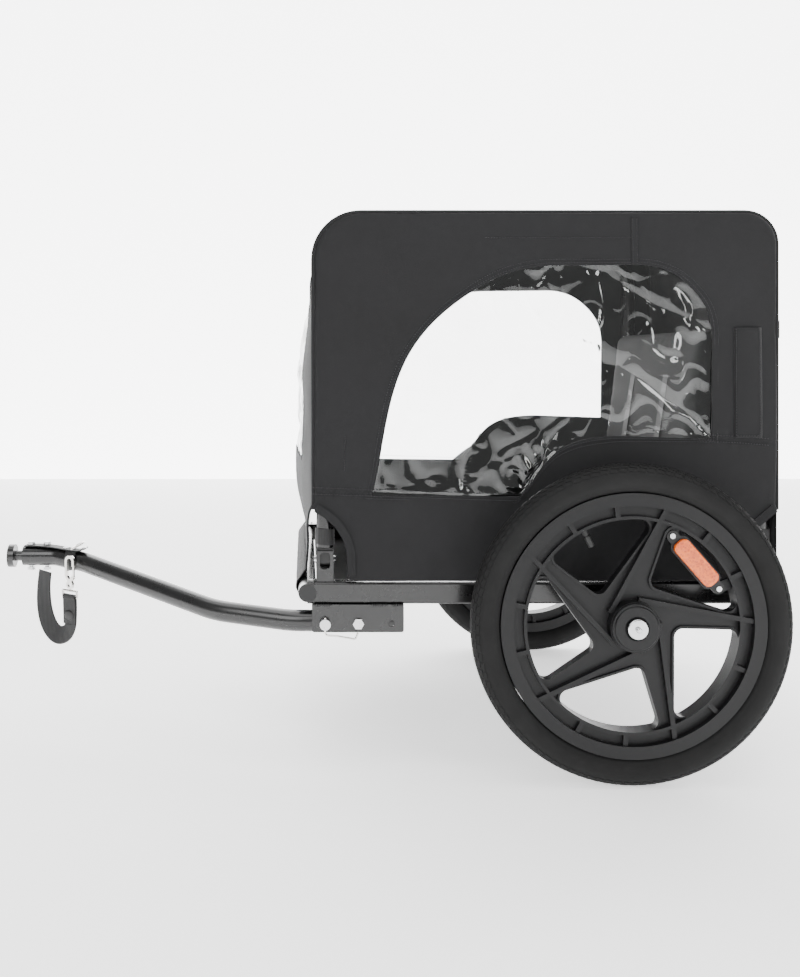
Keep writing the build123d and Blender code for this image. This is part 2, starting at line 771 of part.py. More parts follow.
# ---- tow bar ------------------------------------------------------------------------------------------------
# The bar turns on a bolt between the cheeks of a channel under the left rail. A lock pin in front of the bolt
# holds it forward. The slot in the bar's upper wall lets it leave the pin on its way round.
bar_y = -(rail_y)
bar_z = rail_z0 - 24.5
bolt_x = axle_x - 338
pin_x = bolt_x - 43
spare_x = bolt_x + 43
cheek_t = 2.5
cheek_gap = 0.4
cheek_in = bar_r + cheek_gap
channel_front = bolt_x - 60
channel_rear = bolt_x + 59
channel_bottom = bar_z - 11.4
pivot_r = 4.0
pin_r = 4.0
with BuildPart() as channel:
    with BuildSketch(Plane.YZ.offset(channel_front)):
        with Locations((bar_y, (channel_bottom + rail_z0) / 2)):
            Rectangle(2 * (cheek_in + cheek_t), rail_z0 - channel_bottom)
        with Locations((bar_y, (channel_bottom + rail_z0) / 2 - cheek_t)):
            Rectangle(2 * cheek_in, rail_z0 - channel_bottom, mode=Mode.SUBTRACT)
    extrude(amount=channel_rear - channel_front)
    fillet(channel.edges().filter_by(Axis.Y).group_by(Axis.Z)[0], 3)
    with BuildSketch(across(0)):
        with Locations((bolt_x, bar_z)):
            Circle(pivot_r + running)
        with Locations((pin_x, bar_z)):
            Circle(pin_r + running)
        with Locations((spare_x, bar_z)):
            Circle(4.2)
    extrude(amount=2 * rail_outer, mode=Mode.SUBTRACT)
save(channel.part, "towbar_bracket")

hitch_y = -95.0
hitch_z = axle_z + 45
stub_face_x = axle_x - hitch_reach
bar_end_x = stub_face_x + 21
with BuildPart() as bar:
    with BuildLine():
        FilletPolyline(
            (bolt_x, bar_y, bar_z),
            (bolt_x - 87, bar_y, bar_z),
            (bolt_x - 189, bar_y + 28, bar_z + 7),
            (bolt_x - 386, hitch_y - 15, hitch_z - 7),
            (bar_end_x + 47, hitch_y, hitch_z),
            (bar_end_x, hitch_y, hitch_z),
            radius=(110, 140, 60, 40),
        )
    with BuildSketch(Plane(origin=(bolt_x, bar_y, bar_z), z_dir=(-1, 0, 0))):
        Circle(bar_r)
        Circle(bar_r - bar_wall, mode=Mode.SUBTRACT)
    sweep()
    with Locations((bolt_x, bar_y, bar_z)):
        Sphere(bar_r)
        Sphere(bar_r - bar_wall, mode=Mode.SUBTRACT)
    with BuildSketch(across(0)):
        with Locations((bolt_x, bar_z)):
            Circle(pivot_r + running)
        with BuildLine():
            slot_r = bolt_x - pin_x
            slot_half = pin_r + 0.3
            a0, a1 = radians(180), radians(150)
            CenterArc((bolt_x, bar_z), slot_r - slot_half, 150, 30)
            CenterArc((bolt_x, bar_z), slot_r + slot_half, 150, 30)
            for a in (a0, a1):
                Line(
                    (bolt_x + (slot_r - slot_half) * cos(a), bar_z + (slot_r - slot_half) * sin(a)),
                    (bolt_x + (slot_r + slot_half) * cos(a), bar_z + (slot_r + slot_half) * sin(a)),
                )
        make_face()
        with Locations((pin_x, bar_z)):
            Circle(slot_half)
    extrude(amount=2 * rail_outer, mode=Mode.SUBTRACT)
    for x in (bar_end_x + 11, bar_end_x + 34):
        with Locations((x, hitch_y, hitch_z)):
            Cylinder(3 + running, 60, mode=Mode.SUBTRACT)
save(bar.part, "towbar_tube")

with BuildPart() as pivot:
    with BuildSketch(across(bar_y + cheek_in + cheek_t)):
        with Locations((bolt_x, bar_z)):
            Circle(pivot_r)
    extrude(amount=2 * (cheek_in + cheek_t))
    for y, reach in ((bar_y - cheek_in - cheek_t, 4.5), (bar_y + cheek_in + cheek_t, -6)):
        with BuildSketch(across(y)):
            with Locations((bolt_x, bar_z)):
                RegularPolygon(7.5, 6)
        extrude(amount=reach)
save(pivot.part, "towbar_pivot_bolt")

# Lock pin with a cross hole in its head for the wire bail.
pin_head_y = bar_y - cheek_in - cheek_t
with BuildPart() as pin:
    with BuildSketch(across(bar_y + cheek_in + cheek_t + 9)):
        with Locations((pin_x, bar_z)):
            Circle(pin_r)
    extrude(amount=2 * (cheek_in + cheek_t) + 9)
    with BuildSketch(across(pin_head_y)):
        with Locations((pin_x, bar_z)):
            Circle(7)
    extrude(amount=9)
    with Locations(Location((pin_x, pin_head_y - 5, bar_z), (0, 0, 0))):
        Cylinder(1.2 + running, 20, mode=Mode.SUBTRACT)
save(pin.part, "lock_pin")

# The bail is one bent wire: it turns in the head's cross hole and runs back below the bracket.
bail_y = pin_head_y - 5
with BuildPart() as bail:
    with BuildLine():
        FilletPolyline(
            (pin_x, bail_y, bar_z + 8.5),
            (pin_x, bail_y, bar_z - 14),
            (pin_x + 16, bail_y - 4, bar_z - 14),
            (pin_x + 39, bail_y - 4, bar_z - 18),
            (pin_x + 42, bail_y - 4, bar_z - 10),
            radius=(4, 3, 3),
        )
    with BuildSketch(Plane(origin=(pin_x, bail_y, bar_z + 8.5), z_dir=(0, 0, -1))):
        Circle(1.2)
    sweep()
save(bail.part, "lock_pin_bail")

# Hitch stub: turned shank bolted inside the bar's end, narrow neck and flanged face with a bore.
stub_bore_r = 4.5
stub_bore = 26.0
stub_depth = 39.0
with BuildPart() as stub:
    for x, r, reach in (
        (bar_end_x + stub_depth, bar_r - bar_wall - 0.15, stub_depth),
        (bar_end_x, 7.5, 12),
        (bar_end_x - 12, 16.5, 9),
    ):
        with BuildSketch(Plane(origin=(x, hitch_y, hitch_z), z_dir=(-1, 0, 0))):
            Circle(r)
        extrude(amount=reach)
    with BuildSketch(Plane(origin=(stub_face_x, hitch_y, hitch_z), z_dir=(1, 0, 0))):
        Circle(stub_bore_r)
    extrude(amount=stub_bore, mode=Mode.SUBTRACT)
    for x in (bar_end_x + 11, bar_end_x + 34):
        with Locations((x, hitch_y, hitch_z)):
            Cylinder(3 + running, 60, mode=Mode.SUBTRACT)
save(stub.part, "hitch_stub")

bolt_head = 4.5
with BuildPart() as coupler_bolts:
    for x in (bar_end_x + 11, bar_end_x + 34):
        with Locations((x, hitch_y, hitch_z)):
            Cylinder(3, 2 * bar_r + 8)
        for z in (hitch_z + bar_r + 2.2, hitch_z - bar_r - bolt_head - 1.5):
            with BuildSketch(Plane.XY.offset(z)):
                with Locations((x, hitch_y)):
                    RegularPolygon(5.6, 6)
            extrude(amount=bolt_head)
save(coupler_bolts.part, "coupler_bolts")

# Safety strap: a flat loop that hangs from the coupler and comes up beside the bar.
strap_plate = 4.0
left_leg = (stub_face_x + 52.5, hitch_y - 3)
right_leg = (stub_face_x + 95, hitch_y - 32)
leg_apart = sqrt((right_leg[0] - left_leg[0]) ** 2 + (right_leg[1] - left_leg[1]) ** 2)
loop_bottom = 122.0
strap_top_z = hitch_z - bar_r - bolt_head - 2.5
right_leg_top = 190.0
strap_dir = (right_leg[0] - left_leg[0], right_leg[1] - left_leg[1], 0)
strap_out = (strap_dir[1], -strap_dir[0], 0)
strap_plane = Plane(origin=(*left_leg, 0), x_dir=strap_dir, z_dir=strap_out)
with BuildPart() as safety:
    with BuildSketch(strap_plane.offset(-strap_plate / 2)):
        with BuildLine():
            FilletPolyline(
                (0, strap_top_z),
                (0, loop_bottom + strap_w / 2),
                (leg_apart, loop_bottom + strap_w / 2),
                (leg_apart, right_leg_top),
                radius=(15, 15),
            )
        trace(line_width=strap_w)
    extrude(amount=strap_plate)
save(safety.part, "safety_strap")

# Rectangular ring at the end of the strap.
ring_wire = 1.6
ring_w = strap_w + 6
ring_h = 9.0
ring_z = right_leg_top + seat_gap + ring_wire + ring_h / 2
hook_plane = Plane(origin=(*right_leg, 0), x_dir=strap_dir, z_dir=strap_out)
with BuildPart() as ring:
    with BuildSketch(hook_plane.offset(-ring_wire)):
        with Locations((0, ring_z)):
            RectangleRounded(ring_w, ring_h + 2 * ring_wire, 3)
            RectangleRounded(ring_w - 4 * ring_wire, ring_h - 2 * ring_wire, 1.5, mode=Mode.SUBTRACT)
    extrude(amount=2 * ring_wire)
save(ring.part, "strap_ring")

# Snap hook above the ring, with a sprung gate that turns inward on a small pin.
hook_wire = 2.0
hook_z0 = ring_z + ring_h / 2 + ring_wire + seat_gap
hook_eye_r = 6.5
hook_bend = 7.0
hook_top_z = hook_z0 + 46
gate_z = hook_z0 + 18
gate_pin_r = 0.9
with BuildPart() as hook:
    with BuildSketch(hook_plane.offset(-hook_wire)):
        with Locations((0, hook_z0 + hook_eye_r)):
            Circle(hook_eye_r)
            Circle(hook_eye_r / 2, mode=Mode.SUBTRACT)
        with BuildLine():
            Line((0, hook_z0 + 11), (-hook_bend, gate_z))
            FilletPolyline(
                (-hook_bend, gate_z),
                (-hook_bend, hook_top_z),
                (hook_bend, hook_top_z),
                (hook_bend, hook_top_z - 13),
                radius=hook_bend - 0.5,
            )
        trace(line_width=2 * hook_wire)
        with BuildLine():
            Line((0, hook_z0 + 11), (hook_bend, gate_z))
        trace(line_width=2.4 * hook_wire)
    extrude(amount=2 * hook_wire)
    with BuildSketch(hook_plane.offset(-1.2)):
        with Locations((hook_bend, gate_z)):
            Circle(4)
    extrude(amount=2.4, mode=Mode.SUBTRACT)
    with BuildSketch(hook_plane.offset(-5)):
        with Locations((hook_bend, gate_z)):
            Circle(gate_pin_r + running)
    extrude(amount=10, mode=Mode.SUBTRACT)
save(hook.part, "snap_hook")

with BuildPart() as gate:
    with BuildSketch(hook_plane.offset(-0.9)):
        with Locations((hook_bend, gate_z)):
            Circle(1.8)
        with Locations((hook_bend, (gate_z + hook_top_z - 13.5) / 2)):
            Rectangle(3, hook_top_z - 13.5 - gate_z)
    extrude(amount=1.8)
    with BuildSketch(hook_plane.offset(-hook_wire)):
        with Locations((hook_bend, gate_z)):
            Circle(gate_pin_r)
    extrude(amount=2 * hook_wire)
save(gate.part, "snap_gate")
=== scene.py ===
import bmesh
import bpy
import json
from math import atan2, cos, pi, radians, sin
from mathutils import Matrix, Vector, noise
from mathutils.bvhtree import BVHTree


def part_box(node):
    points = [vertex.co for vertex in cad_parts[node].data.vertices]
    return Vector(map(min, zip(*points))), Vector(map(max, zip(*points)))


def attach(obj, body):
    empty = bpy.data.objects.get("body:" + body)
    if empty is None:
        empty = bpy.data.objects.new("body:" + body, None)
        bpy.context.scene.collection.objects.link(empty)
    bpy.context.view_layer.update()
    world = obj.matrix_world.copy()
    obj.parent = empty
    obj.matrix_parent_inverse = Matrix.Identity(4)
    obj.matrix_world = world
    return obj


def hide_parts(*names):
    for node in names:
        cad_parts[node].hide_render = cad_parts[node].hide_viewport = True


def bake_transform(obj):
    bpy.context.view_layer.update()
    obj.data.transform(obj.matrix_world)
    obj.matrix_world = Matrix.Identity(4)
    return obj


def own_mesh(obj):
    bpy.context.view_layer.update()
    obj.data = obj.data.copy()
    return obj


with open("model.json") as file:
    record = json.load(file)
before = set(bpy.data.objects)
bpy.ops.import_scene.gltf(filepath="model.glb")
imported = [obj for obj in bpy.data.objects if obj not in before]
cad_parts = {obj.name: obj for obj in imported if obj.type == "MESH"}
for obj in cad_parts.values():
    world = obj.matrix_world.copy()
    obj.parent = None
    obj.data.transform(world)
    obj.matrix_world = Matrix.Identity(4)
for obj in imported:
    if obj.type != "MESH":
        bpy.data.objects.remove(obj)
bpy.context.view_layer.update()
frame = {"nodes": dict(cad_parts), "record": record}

# ---- camera, light and floor ------------------------------------------------------------------------------
# The trailer is seen square on from its left, from near its own height, a little ahead of the cabin.
tyre_low, tyre_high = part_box("left_tyre")
axle_x = (tyre_low[0] + tyre_high[0]) / 2
axle_z = (tyre_low[2] + tyre_high[2]) / 2
camera_data = bpy.data.cameras.new("camera")
camera_data.lens = 36 * 1099.2 / 977
camera_data.sensor_width = 36
camera_data.shift_x = 0.0968
camera_data.shift_y = -0.1315
camera = bpy.data.objects.new("camera", camera_data)
camera.location = (axle_x - 0.4065, -1.694, 0.5294)
camera.rotation_euler = (pi / 2, 0, 0)
bpy.context.collection.objects.link(camera)
bpy.context.scene.camera = camera


def linear(code):
    """An sRGB hex colour as linear red, green, blue and alpha."""
    parts = [int(code[i : i + 2], 16) / 255 for i in (1, 3, 5)]
    return tuple(c / 12.92 if c <= 0.04045 else ((c + 0.055) / 1.055) ** 2.4 for c in parts) + (1.0,)


def soft_light(name, place, aim, size, watts, width=None):
    """A large softbox at a place, turned to face a point."""
    data = bpy.data.lights.new(name, "AREA")
    data.shape = "RECTANGLE"
    data.size = width or size
    data.size_y = size
    data.energy = watts
    lamp = bpy.data.objects.new(name, data)
    lamp.location = place
    lamp.rotation_euler = (Vector(aim) - Vector(place)).to_track_quat("-Z", "Y").to_euler()
    bpy.context.collection.objects.link(lamp)


soft_light("front_box", (-0.9, -2.6, 1.9), (0, 0, 0.3), 1.6, 40)
soft_light("top_box", (0.2, -0.2, 2.6), (0, 0, 0.3), 2.4, 55)
soft_light("rear_box", (2.2, 1.2, 1.6), (0.2, 0, 0.3), 1.4, 14)
soft_light("side_strip", (2.0, -2.2, 1.0), (0.3, -0.3, 0.4), 1.6, 22, 0.4)
world = bpy.data.worlds.new("studio")
world.use_nodes = True
world.node_tree.nodes["Background"].inputs["Color"].default_value = linear("#F4F4F4")
world.node_tree.nodes["Background"].inputs["Strength"].default_value = 0.5
bpy.context.scene.world = world


def add(tree, kind, settings=None, **links):
    """Adds a shader node with its settings; each link names an input and gives a value or a socket."""
    made = tree.nodes.new(kind)
    for key, value in (settings or {}).items():
        setattr(made, key, value)
    for key, value in links.items():
        slot_name = key.replace("_", " ")
        socket = made.inputs[int(slot_name[1:])] if slot_name[1:].isdigit() else made.inputs[slot_name]
        if isinstance(value, bpy.types.NodeSocket):
            tree.links.new(value, socket)
        else:
            socket.default_value = value
    return made


def new_material(name):
    """An empty material: its node tree, its Principled shader and its Object coordinates."""
    made = bpy.data.materials.new(name)
    made.use_nodes = True
    tree = made.node_tree
    where = tree.nodes.new("ShaderNodeTexCoord").outputs["Object"]
    return made, tree, tree.nodes["Principled BSDF"], where


def finish_shader(shader, **values):
    """Sets constants on the shader's own sockets."""
    for key, value in values.items():
        shader.inputs[key.replace("_", " ")].default_value = value


def bump(tree, shader, height, strength, depth):
    """Lets a height pattern tilt the surface; depth is in metres."""
    made = add(tree, "ShaderNodeBump", None, Strength=strength, Distance=depth, Height=height)
    tree.links.new(made.outputs["Normal"], shader.inputs["Normal"])


# Studio paper: matt, pale, with no pattern that would read as a place.
paper, tree, shader, where = new_material("studio_paper")
finish_shader(shader, Base_Color=linear("#FBFBFB"), Roughness=0.9, Specular_IOR_Level=0.2)
finish_shader(shader, Emission_Color=linear("#FFFFFF"), Emission_Strength=0.9)
floor_mesh = bmesh.new()
bmesh.ops.create_grid(floor_mesh, x_segments=1, y_segments=1, size=6)
floor_data = bpy.data.meshes.new("studio_floor")
floor_mesh.to_mesh(floor_data)
floor_mesh.free()
floor_data.materials.append(paper)
floor = bpy.data.objects.new("studio_floor", floor_data)
bpy.context.collection.objects.link(floor)

# Lit backdrop behind the trailer, as a product table has.
glow, tree, shader, where = new_material("lit_backdrop")
finish_shader(shader, Base_Color=linear("#FFFFFF"), Emission_Color=linear("#FFFFFF"), Emission_Strength=5.0)
back_mesh = bmesh.new()
back_place = Matrix.Translation((0, 3.2, 3)) @ Matrix.Rotation(pi / 2, 4, "X")
bmesh.ops.create_grid(back_mesh, x_segments=1, y_segments=1, size=5, matrix=back_place)
back_data = bpy.data.meshes.new("studio_backdrop")
back_mesh.to_mesh(back_data)
back_mesh.free()
back_data.materials.append(glow)
backdrop = bpy.data.objects.new("studio_backdrop", back_data)
bpy.context.collection.objects.link(backdrop)

# ---- base frame: painted steel tubes ----------------------------------------------------------------------
# Rectangular rails and round cross tubes, MIG welded and powder coated gloss black. The coating lies thick
# and even, with a faint orange peel and dust-fine variation in its gloss.
paint, tree, shader, where = new_material("black_powder_coat")
peel = add(tree, "ShaderNodeTexNoise", None, Vector=where, Scale=420, Detail=3)
haze = add(tree, "ShaderNodeTexNoise", None, Vector=where, Scale=22, Detail=5)
gloss = add(tree, "ShaderNodeMapRange", None, Value=haze.outputs["Fac"], To_Min=0.2, To_Max=0.36)
tint = add(tree, "ShaderNodeMapRange", None, Value=haze.outputs["Fac"], To_Min=0.0, To_Max=1.0)
mix = add(
    tree,
    "ShaderNodeMix",
    {"data_type": "RGBA"},
    Factor=tint.outputs["Result"],
    _6=linear("#060606"),
    _7=linear("#0C0C0D"),
)
tree.links.new(mix.outputs[2], shader.inputs["Base Color"])
tree.links.new(gloss.outputs["Result"], shader.inputs["Roughness"])
finish_shader(shader, Coat_Weight=0.35, Coat_Roughness=0.12, Specular_IOR_Level=0.55)
bump(tree, shader, peel.outputs["Fac"], 0.25, 0.0004)


def body_of_node(node):
    """The body that the record gives a CAD node."""
    for body, nodes in frame["record"]["behaviour"]["bodies"].items():
        if node in nodes:
            return body


def shown(name, mesh, material, body=None, smooth=True, angle=35):
    """Makes a piece of a bmesh: smooth between sharp edges, with its material, riding on its body."""
    for face in mesh.faces:
        face.smooth = smooth
    for edge in mesh.edges:
        if len(edge.link_faces) == 2:
            edge.smooth = edge.calc_face_angle(0) < radians(angle)
    data = bpy.data.meshes.new(name)
    mesh.to_mesh(data)
    mesh.free()
    data.materials.append(material)
    obj = bpy.data.objects.new(name, data)
    bpy.context.collection.objects.link(obj)
    if body:
        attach(obj, body)
    return obj


def merged_copy(node):
    """A CAD node's mesh with its loose triangles joined."""
    mesh = bmesh.new()
    mesh.from_mesh(frame["nodes"][node].data)
    bmesh.ops.remove_doubles(mesh, verts=mesh.verts, dist=2e-6)
    return mesh


def finished_node(node, material, edge=0.0006, angle=35):
    """A smooth-shaded copy of a CAD node with slightly rounded edges, shown in its place."""
    mesh = merged_copy(node)
    piece = shown(f"{node}_finished", mesh, material, body_of_node(node), angle=angle)
    if edge:
        soften = piece.modifiers.new("edges", "BEVEL")
        soften.width = edge
        soften.segments = 2
        soften.limit_method = "ANGLE"
        soften.angle_limit = radians(40)
    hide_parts(node)
    return piece


for node in (
    "left_side_rail",
    "right_side_rail",
    "front_cross_tube",
    "rear_cross_tube",
    "axle_cross_tube",
    "hinge_brackets",
    "left_hoop",
    "right_hoop",
    "towbar_bracket",
    "towbar_tube",
    "hitch_stub",
):
    finished_node(node, paint)

# ---- weld beads -------------------------------------------------------------------------------------------
# Short MIG beads where brackets and cross tubes meet the rails: overlapping ripples of weld metal under the
# paint.
left_rail_low, left_rail_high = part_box("left_side_rail")
bracket_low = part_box("towbar_bracket")[0]
hinge_low, hinge_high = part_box("hinge_brackets")


def stamp(mesh, shape, matrix):
    """Adds one copy of a small shape, given as its corners and faces, to the mesh."""
    corners, faces = shape
    made = [mesh.verts.new(matrix @ corner) for corner in corners]
    for face in faces:
        mesh.faces.new([made[k] for k in face])


def shape_of(operator, **sizes):
    """The corners and faces that a bmesh operator makes."""
    made = bmesh.new()
    operator(made, **sizes)
    made.verts.index_update()
    shape = [v.co.copy() for v in made.verts], [[v.index for v in f.verts] for f in made.faces]
    made.free()
    return shape


drop = shape_of(bmesh.ops.create_icosphere, subdivisions=1, radius=1)


def weld_bead(mesh, start, end, radius=0.0021, pitch=0.0026):
    """A row of overlapping drops from start to end."""
    start, end = Vector(start), Vector(end)
    drops = max(2, int((end - start).length / pitch))
    for i in range(drops + 1):
        place = start.lerp(end, i / drops)
        size = radius * (1 + 0.22 * noise.noise(place * 900))
        stamp(mesh, drop, Matrix.Translation(place) @ Matrix.Scale(size, 4))


welds = bmesh.new()
under_rail = left_rail_low[2]
for x0, x1 in ((0.006, 0.024), (0.078, 0.096), (0.106, 0.116)):
    weld_bead(
        welds,
        (bracket_low[0] + x0, bracket_low[1] - 0.0004, under_rail - 0.0006),
        (bracket_low[0] + x1, bracket_low[1] - 0.0004, under_rail - 0.0006),
    )
bracket_gap = 0.0225
rail_top = left_rail_high[2]
for side in (-1, 1):
    outside = hinge_low[1] if side < 0 else hinge_high[1]
    fronts = (hinge_low[0], hinge_high[0] - bracket_gap)
    if side > 0:
        fronts = (hinge_low[0] + 0.026, hinge_high[0] - bracket_gap - 0.026)
    for x in fronts:
        for dx in (-0.0006, bracket_gap + 0.0006):
            weld_bead(
                welds,
                (x + dx, outside - side * 0.002, rail_top),
                (x + dx, outside - side * 0.012, rail_top),
                0.0017,
            )
for node in ("front_cross_tube", "rear_cross_tube"):
    tube_low, tube_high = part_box(node)
    centre = ((tube_low[0] + tube_high[0]) / 2, (tube_low[2] + tube_high[2]) / 2)
    to_rail = 1 if node == "front_cross_tube" else -1
    for side in (-1, 1):
        for z in (left_rail_low[2] + 0.001, left_rail_high[2] - 0.001):
            weld_bead(
                welds,
                (centre[0] + to_rail * 0.0085, side * 0.2655, z),
                (centre[0] + to_rail * 0.0085, side * 0.244, z),
                0.0019,
            )
shown("weld_beads", welds, paint, "frame", angle=60)

# ---- plastic trim -----------------------------------------------------------------------------------------
# Injection moulded polypropylene: tube plugs, hoop feet, reflector plates and the harness buckle. Dark grey,
# with the fine spark-eroded grain of the mould.
trim, tree, shader, where = new_material("dark_polypropylene")
grain = add(tree, "ShaderNodeTexNoise", None, Vector=where, Scale=1600, Detail=2)
finish_shader(shader, Base_Color=linear("#1E1E1F"), Roughness=0.48, IOR=1.49)
bump(tree, shader, grain.outputs["Fac"], 0.3, 0.0003)
for node in ("tube_end_plugs", "harness_buckle"):
    finished_node(node, trim, edge=0.0008)

dark_trim, tree, shader, where = new_material("black_polypropylene")
grain = add(tree, "ShaderNodeTexNoise", None, Vector=where, Scale=1600, Detail=2)
finish_shader(shader, Base_Color=linear("#0A0A0A"), Roughness=0.4, IOR=1.49)
bump(tree, shader, grain.outputs["Fac"], 0.3, 0.0003)
for node in ("left_hoop_feet", "right_hoop_feet", "left_reflector_base", "right_reflector_base"):
    finished_node(node, dark_trim, edge=0.0005)

# ---- zinc plated fasteners --------------------------------------------------------------------------------
# Bright zinc over turned or cold-headed steel: bolts, screws, the lock pin and the quick-release axles. Fine
# turning marks and a slightly cloudy plate.
zinc, tree, shader, where = new_material("bright_zinc_plate")
cloud = add(tree, "ShaderNodeTexNoise", None, Vector=where, Scale=260, Detail=4)
rough = add(tree, "ShaderNodeMapRange", None, Value=cloud.outputs["Fac"], To_Min=0.14, To_Max=0.34)
tree.links.new(rough.outputs["Result"], shader.inputs["Roughness"])
finish_shader(shader, Base_Color=linear("#D9DADB"), Metallic=1.0)
bump(tree, shader, cloud.outputs["Fac"], 0.15, 0.0002)
for node in (
    "hinge_bolts",
    "towbar_pivot_bolt",
    "coupler_bolts",
    "lock_pin",
    "left_quick_axle",
    "right_quick_axle",
    "left_axle_button",
    "right_axle_button",
    "left_reflector_screws",
    "right_reflector_screws",
):
    finished_node(node, zinc, edge=0.0003)

bearing_steel, tree, shader, where = new_material("ground_steel")
marks = add(tree, "ShaderNodeTexNoise", None, Vector=where, Scale=700, Detail=2)
rough = add(tree, "ShaderNodeMapRange", None, Value=marks.outputs["Fac"], To_Min=0.22, To_Max=0.4)
tree.links.new(rough.outputs["Result"], shader.inputs["Roughness"])
finish_shader(shader, Base_Color=linear("#9C9C9D"), Metallic=1.0)
for node in ("axle_receptacles", "left_wheel_bearings", "right_wheel_bearings"):
    finished_node(node, bearing_steel, edge=0)

# Nickel plated spring wire and castings: hook, ring, gate and the lock pin's bail. Mirror bright.
nickel, tree, shader, where = new_material("nickel_plate")
waves = add(tree, "ShaderNodeTexNoise", None, Vector=where, Scale=180, Detail=2)
finish_shader(shader, Base_Color=linear("#E4E2DE"), Metallic=1.0, Roughness=0.1)
bump(tree, shader, waves.outputs["Fac"], 0.3, 0.0005)
for node in ("strap_ring", "snap_hook", "snap_gate"):
    finished_node(node, nickel, edge=0.0009)
finished_node("lock_pin_bail", nickel, edge=0)

# ---- wheels: rim and hub ----------------------------------------------------------------------------------
# One-piece glass-filled nylon wheel, injection moulded: near-black, satin, with a fine mould grain, soft
# moulded edges and faint cloudy flow marks.
nylon, tree, shader, where = new_material("moulded_nylon")
grain = add(tree, "ShaderNodeTexNoise", None, Vector=where, Scale=1300, Detail=3)
flow = add(tree, "ShaderNodeTexNoise", None, Vector=where, Scale=16, Detail=4, Distortion=1.5)
mix = add(
    tree,
    "ShaderNodeMix",
    {"data_type": "RGBA"},
    Factor=flow.outputs["Fac"],
    _6=linear("#0E0E0F"),
    _7=linear("#171718"),
)
rough = add(tree, "ShaderNodeMapRange", None, Value=flow.outputs["Fac"], To_Min=0.36, To_Max=0.5)
tree.links.new(mix.outputs[2], shader.inputs["Base Color"])
tree.links.new(rough.outputs["Result"], shader.inputs["Roughness"])
finish_shader(shader, IOR=1.53, Specular_IOR_Level=0.3)
bump(tree, shader, grain.outputs["Fac"], 0.35, 0.0003)
for side in ("left", "right"):
    finished_node(f"{side}_rim", nylon, edge=0.0011)
    finished_node(f"{side}_hub_cap", nylon, edge=0.001)

# Rubber-covered valve stem and its cap.
valve_rubber, tree, shader, where = new_material("valve_rubber")
finish_shader(shader, Base_Color=linear("#1B1B1B"), Roughness=0.55)
ridges = add(tree, "ShaderNodeTexNoise", None, Vector=where, Scale=900, Detail=2)
bump(tree, shader, ridges.outputs["Fac"], 0.4, 0.0004)
for side in ("left", "right"):
    finished_node(f"{side}_air_valve", valve_rubber, edge=0.0005)

# Amber acrylic reflector lens: a fine grid of moulded prism cells, whose reflection is painted as bright and
# dark cells.
amber, tree, shader, where = new_material("amber_acrylic")
cells = add(tree, "ShaderNodeTexVoronoi", {"feature": "F1", "distance": "CHEBYCHEV"}, Vector=where, Scale=330)
band = add(tree, "ShaderNodeTexWave", {"bands_direction": "DIAGONAL"}, Vector=where, Scale=26, Distortion=1.2)
ramp = add(tree, "ShaderNodeMath", {"operation": "MULTIPLY"}, _0=cells.outputs["Distance"], _1=1.3)
painted_prism_glints = add(
    tree, "ShaderNodeMath", {"operation": "MULTIPLY_ADD"}, _0=band.outputs["Fac"], _1=0.3, _2=ramp.outputs[0]
)
# Painted reflection: the prism cells and a diagonal band set how bright the amber colour is, standing in for
# light the prisms return.
mix = add(
    tree,
    "ShaderNodeMix",
    {"data_type": "RGBA"},
    Factor=painted_prism_glints.outputs[0],
    _6=linear("#B52E00"),
    _7=linear("#F5700A"),
)
tree.links.new(mix.outputs[2], shader.inputs["Base Color"])
finish_shader(shader, Roughness=0.12, Coat_Weight=0.6, Coat_Roughness=0.04, IOR=1.49)
bump(tree, shader, cells.outputs["Distance"], 0.5, 0.0006)
for side in ("left", "right"):
    finished_node(f"{side}_reflector_lens", amber, edge=0)

# ---- tyres ------------------------------------------------------------------------------------------------
# Black butyl tyre: smooth sidewall with fine moulded rings, and a low tread of small bricks round the
# shoulders. Matt, with grey bloom where the mould was dusted.
rubber, tree, shader, where = new_material("tyre_rubber")
bloom = add(tree, "ShaderNodeTexNoise", None, Vector=where, Scale=38, Detail=6)
grit = add(tree, "ShaderNodeTexNoise", None, Vector=where, Scale=900, Detail=2)
mix = add(
    tree,
    "ShaderNodeMix",
    {"data_type": "RGBA"},
    Factor=bloom.outputs["Fac"],
    _6=linear("#131313"),
    _7=linear("#1F1F1F"),
)
tree.links.new(mix.outputs[2], shader.inputs["Base Color"])
finish_shader(shader, Roughness=0.7, Specular_IOR_Level=0.2)
bump(tree, shader, grit.outputs["Fac"], 0.4, 0.0004)
tyre_r = (tyre_high[2] - tyre_low[2]) / 2
tyre_w = tyre_high[1] - tyre_low[1]
rim_low, rim_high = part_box("left_rim")
rim_edge_r = (rim_high[2] - rim_low[2]) / 2
brick_t = 0.0016
blocks_round = 104


def tyre_profile(along):
    """Radius and offset of the casing's outside: 0 at one bead, 1 at the other, the crown at 0.5."""
    turn = (along - 0.5) * 2 * radians(150)
    half = tyre_w / 2
    middle = tyre_r - half * 0.86
    reach = half * (1 - 0.05 * cos(2 * turn))
    radius = middle + (tyre_r - middle) * cos(turn)
    return max(radius, rim_edge_r + 0.0006), min(half, reach) * sin(turn)


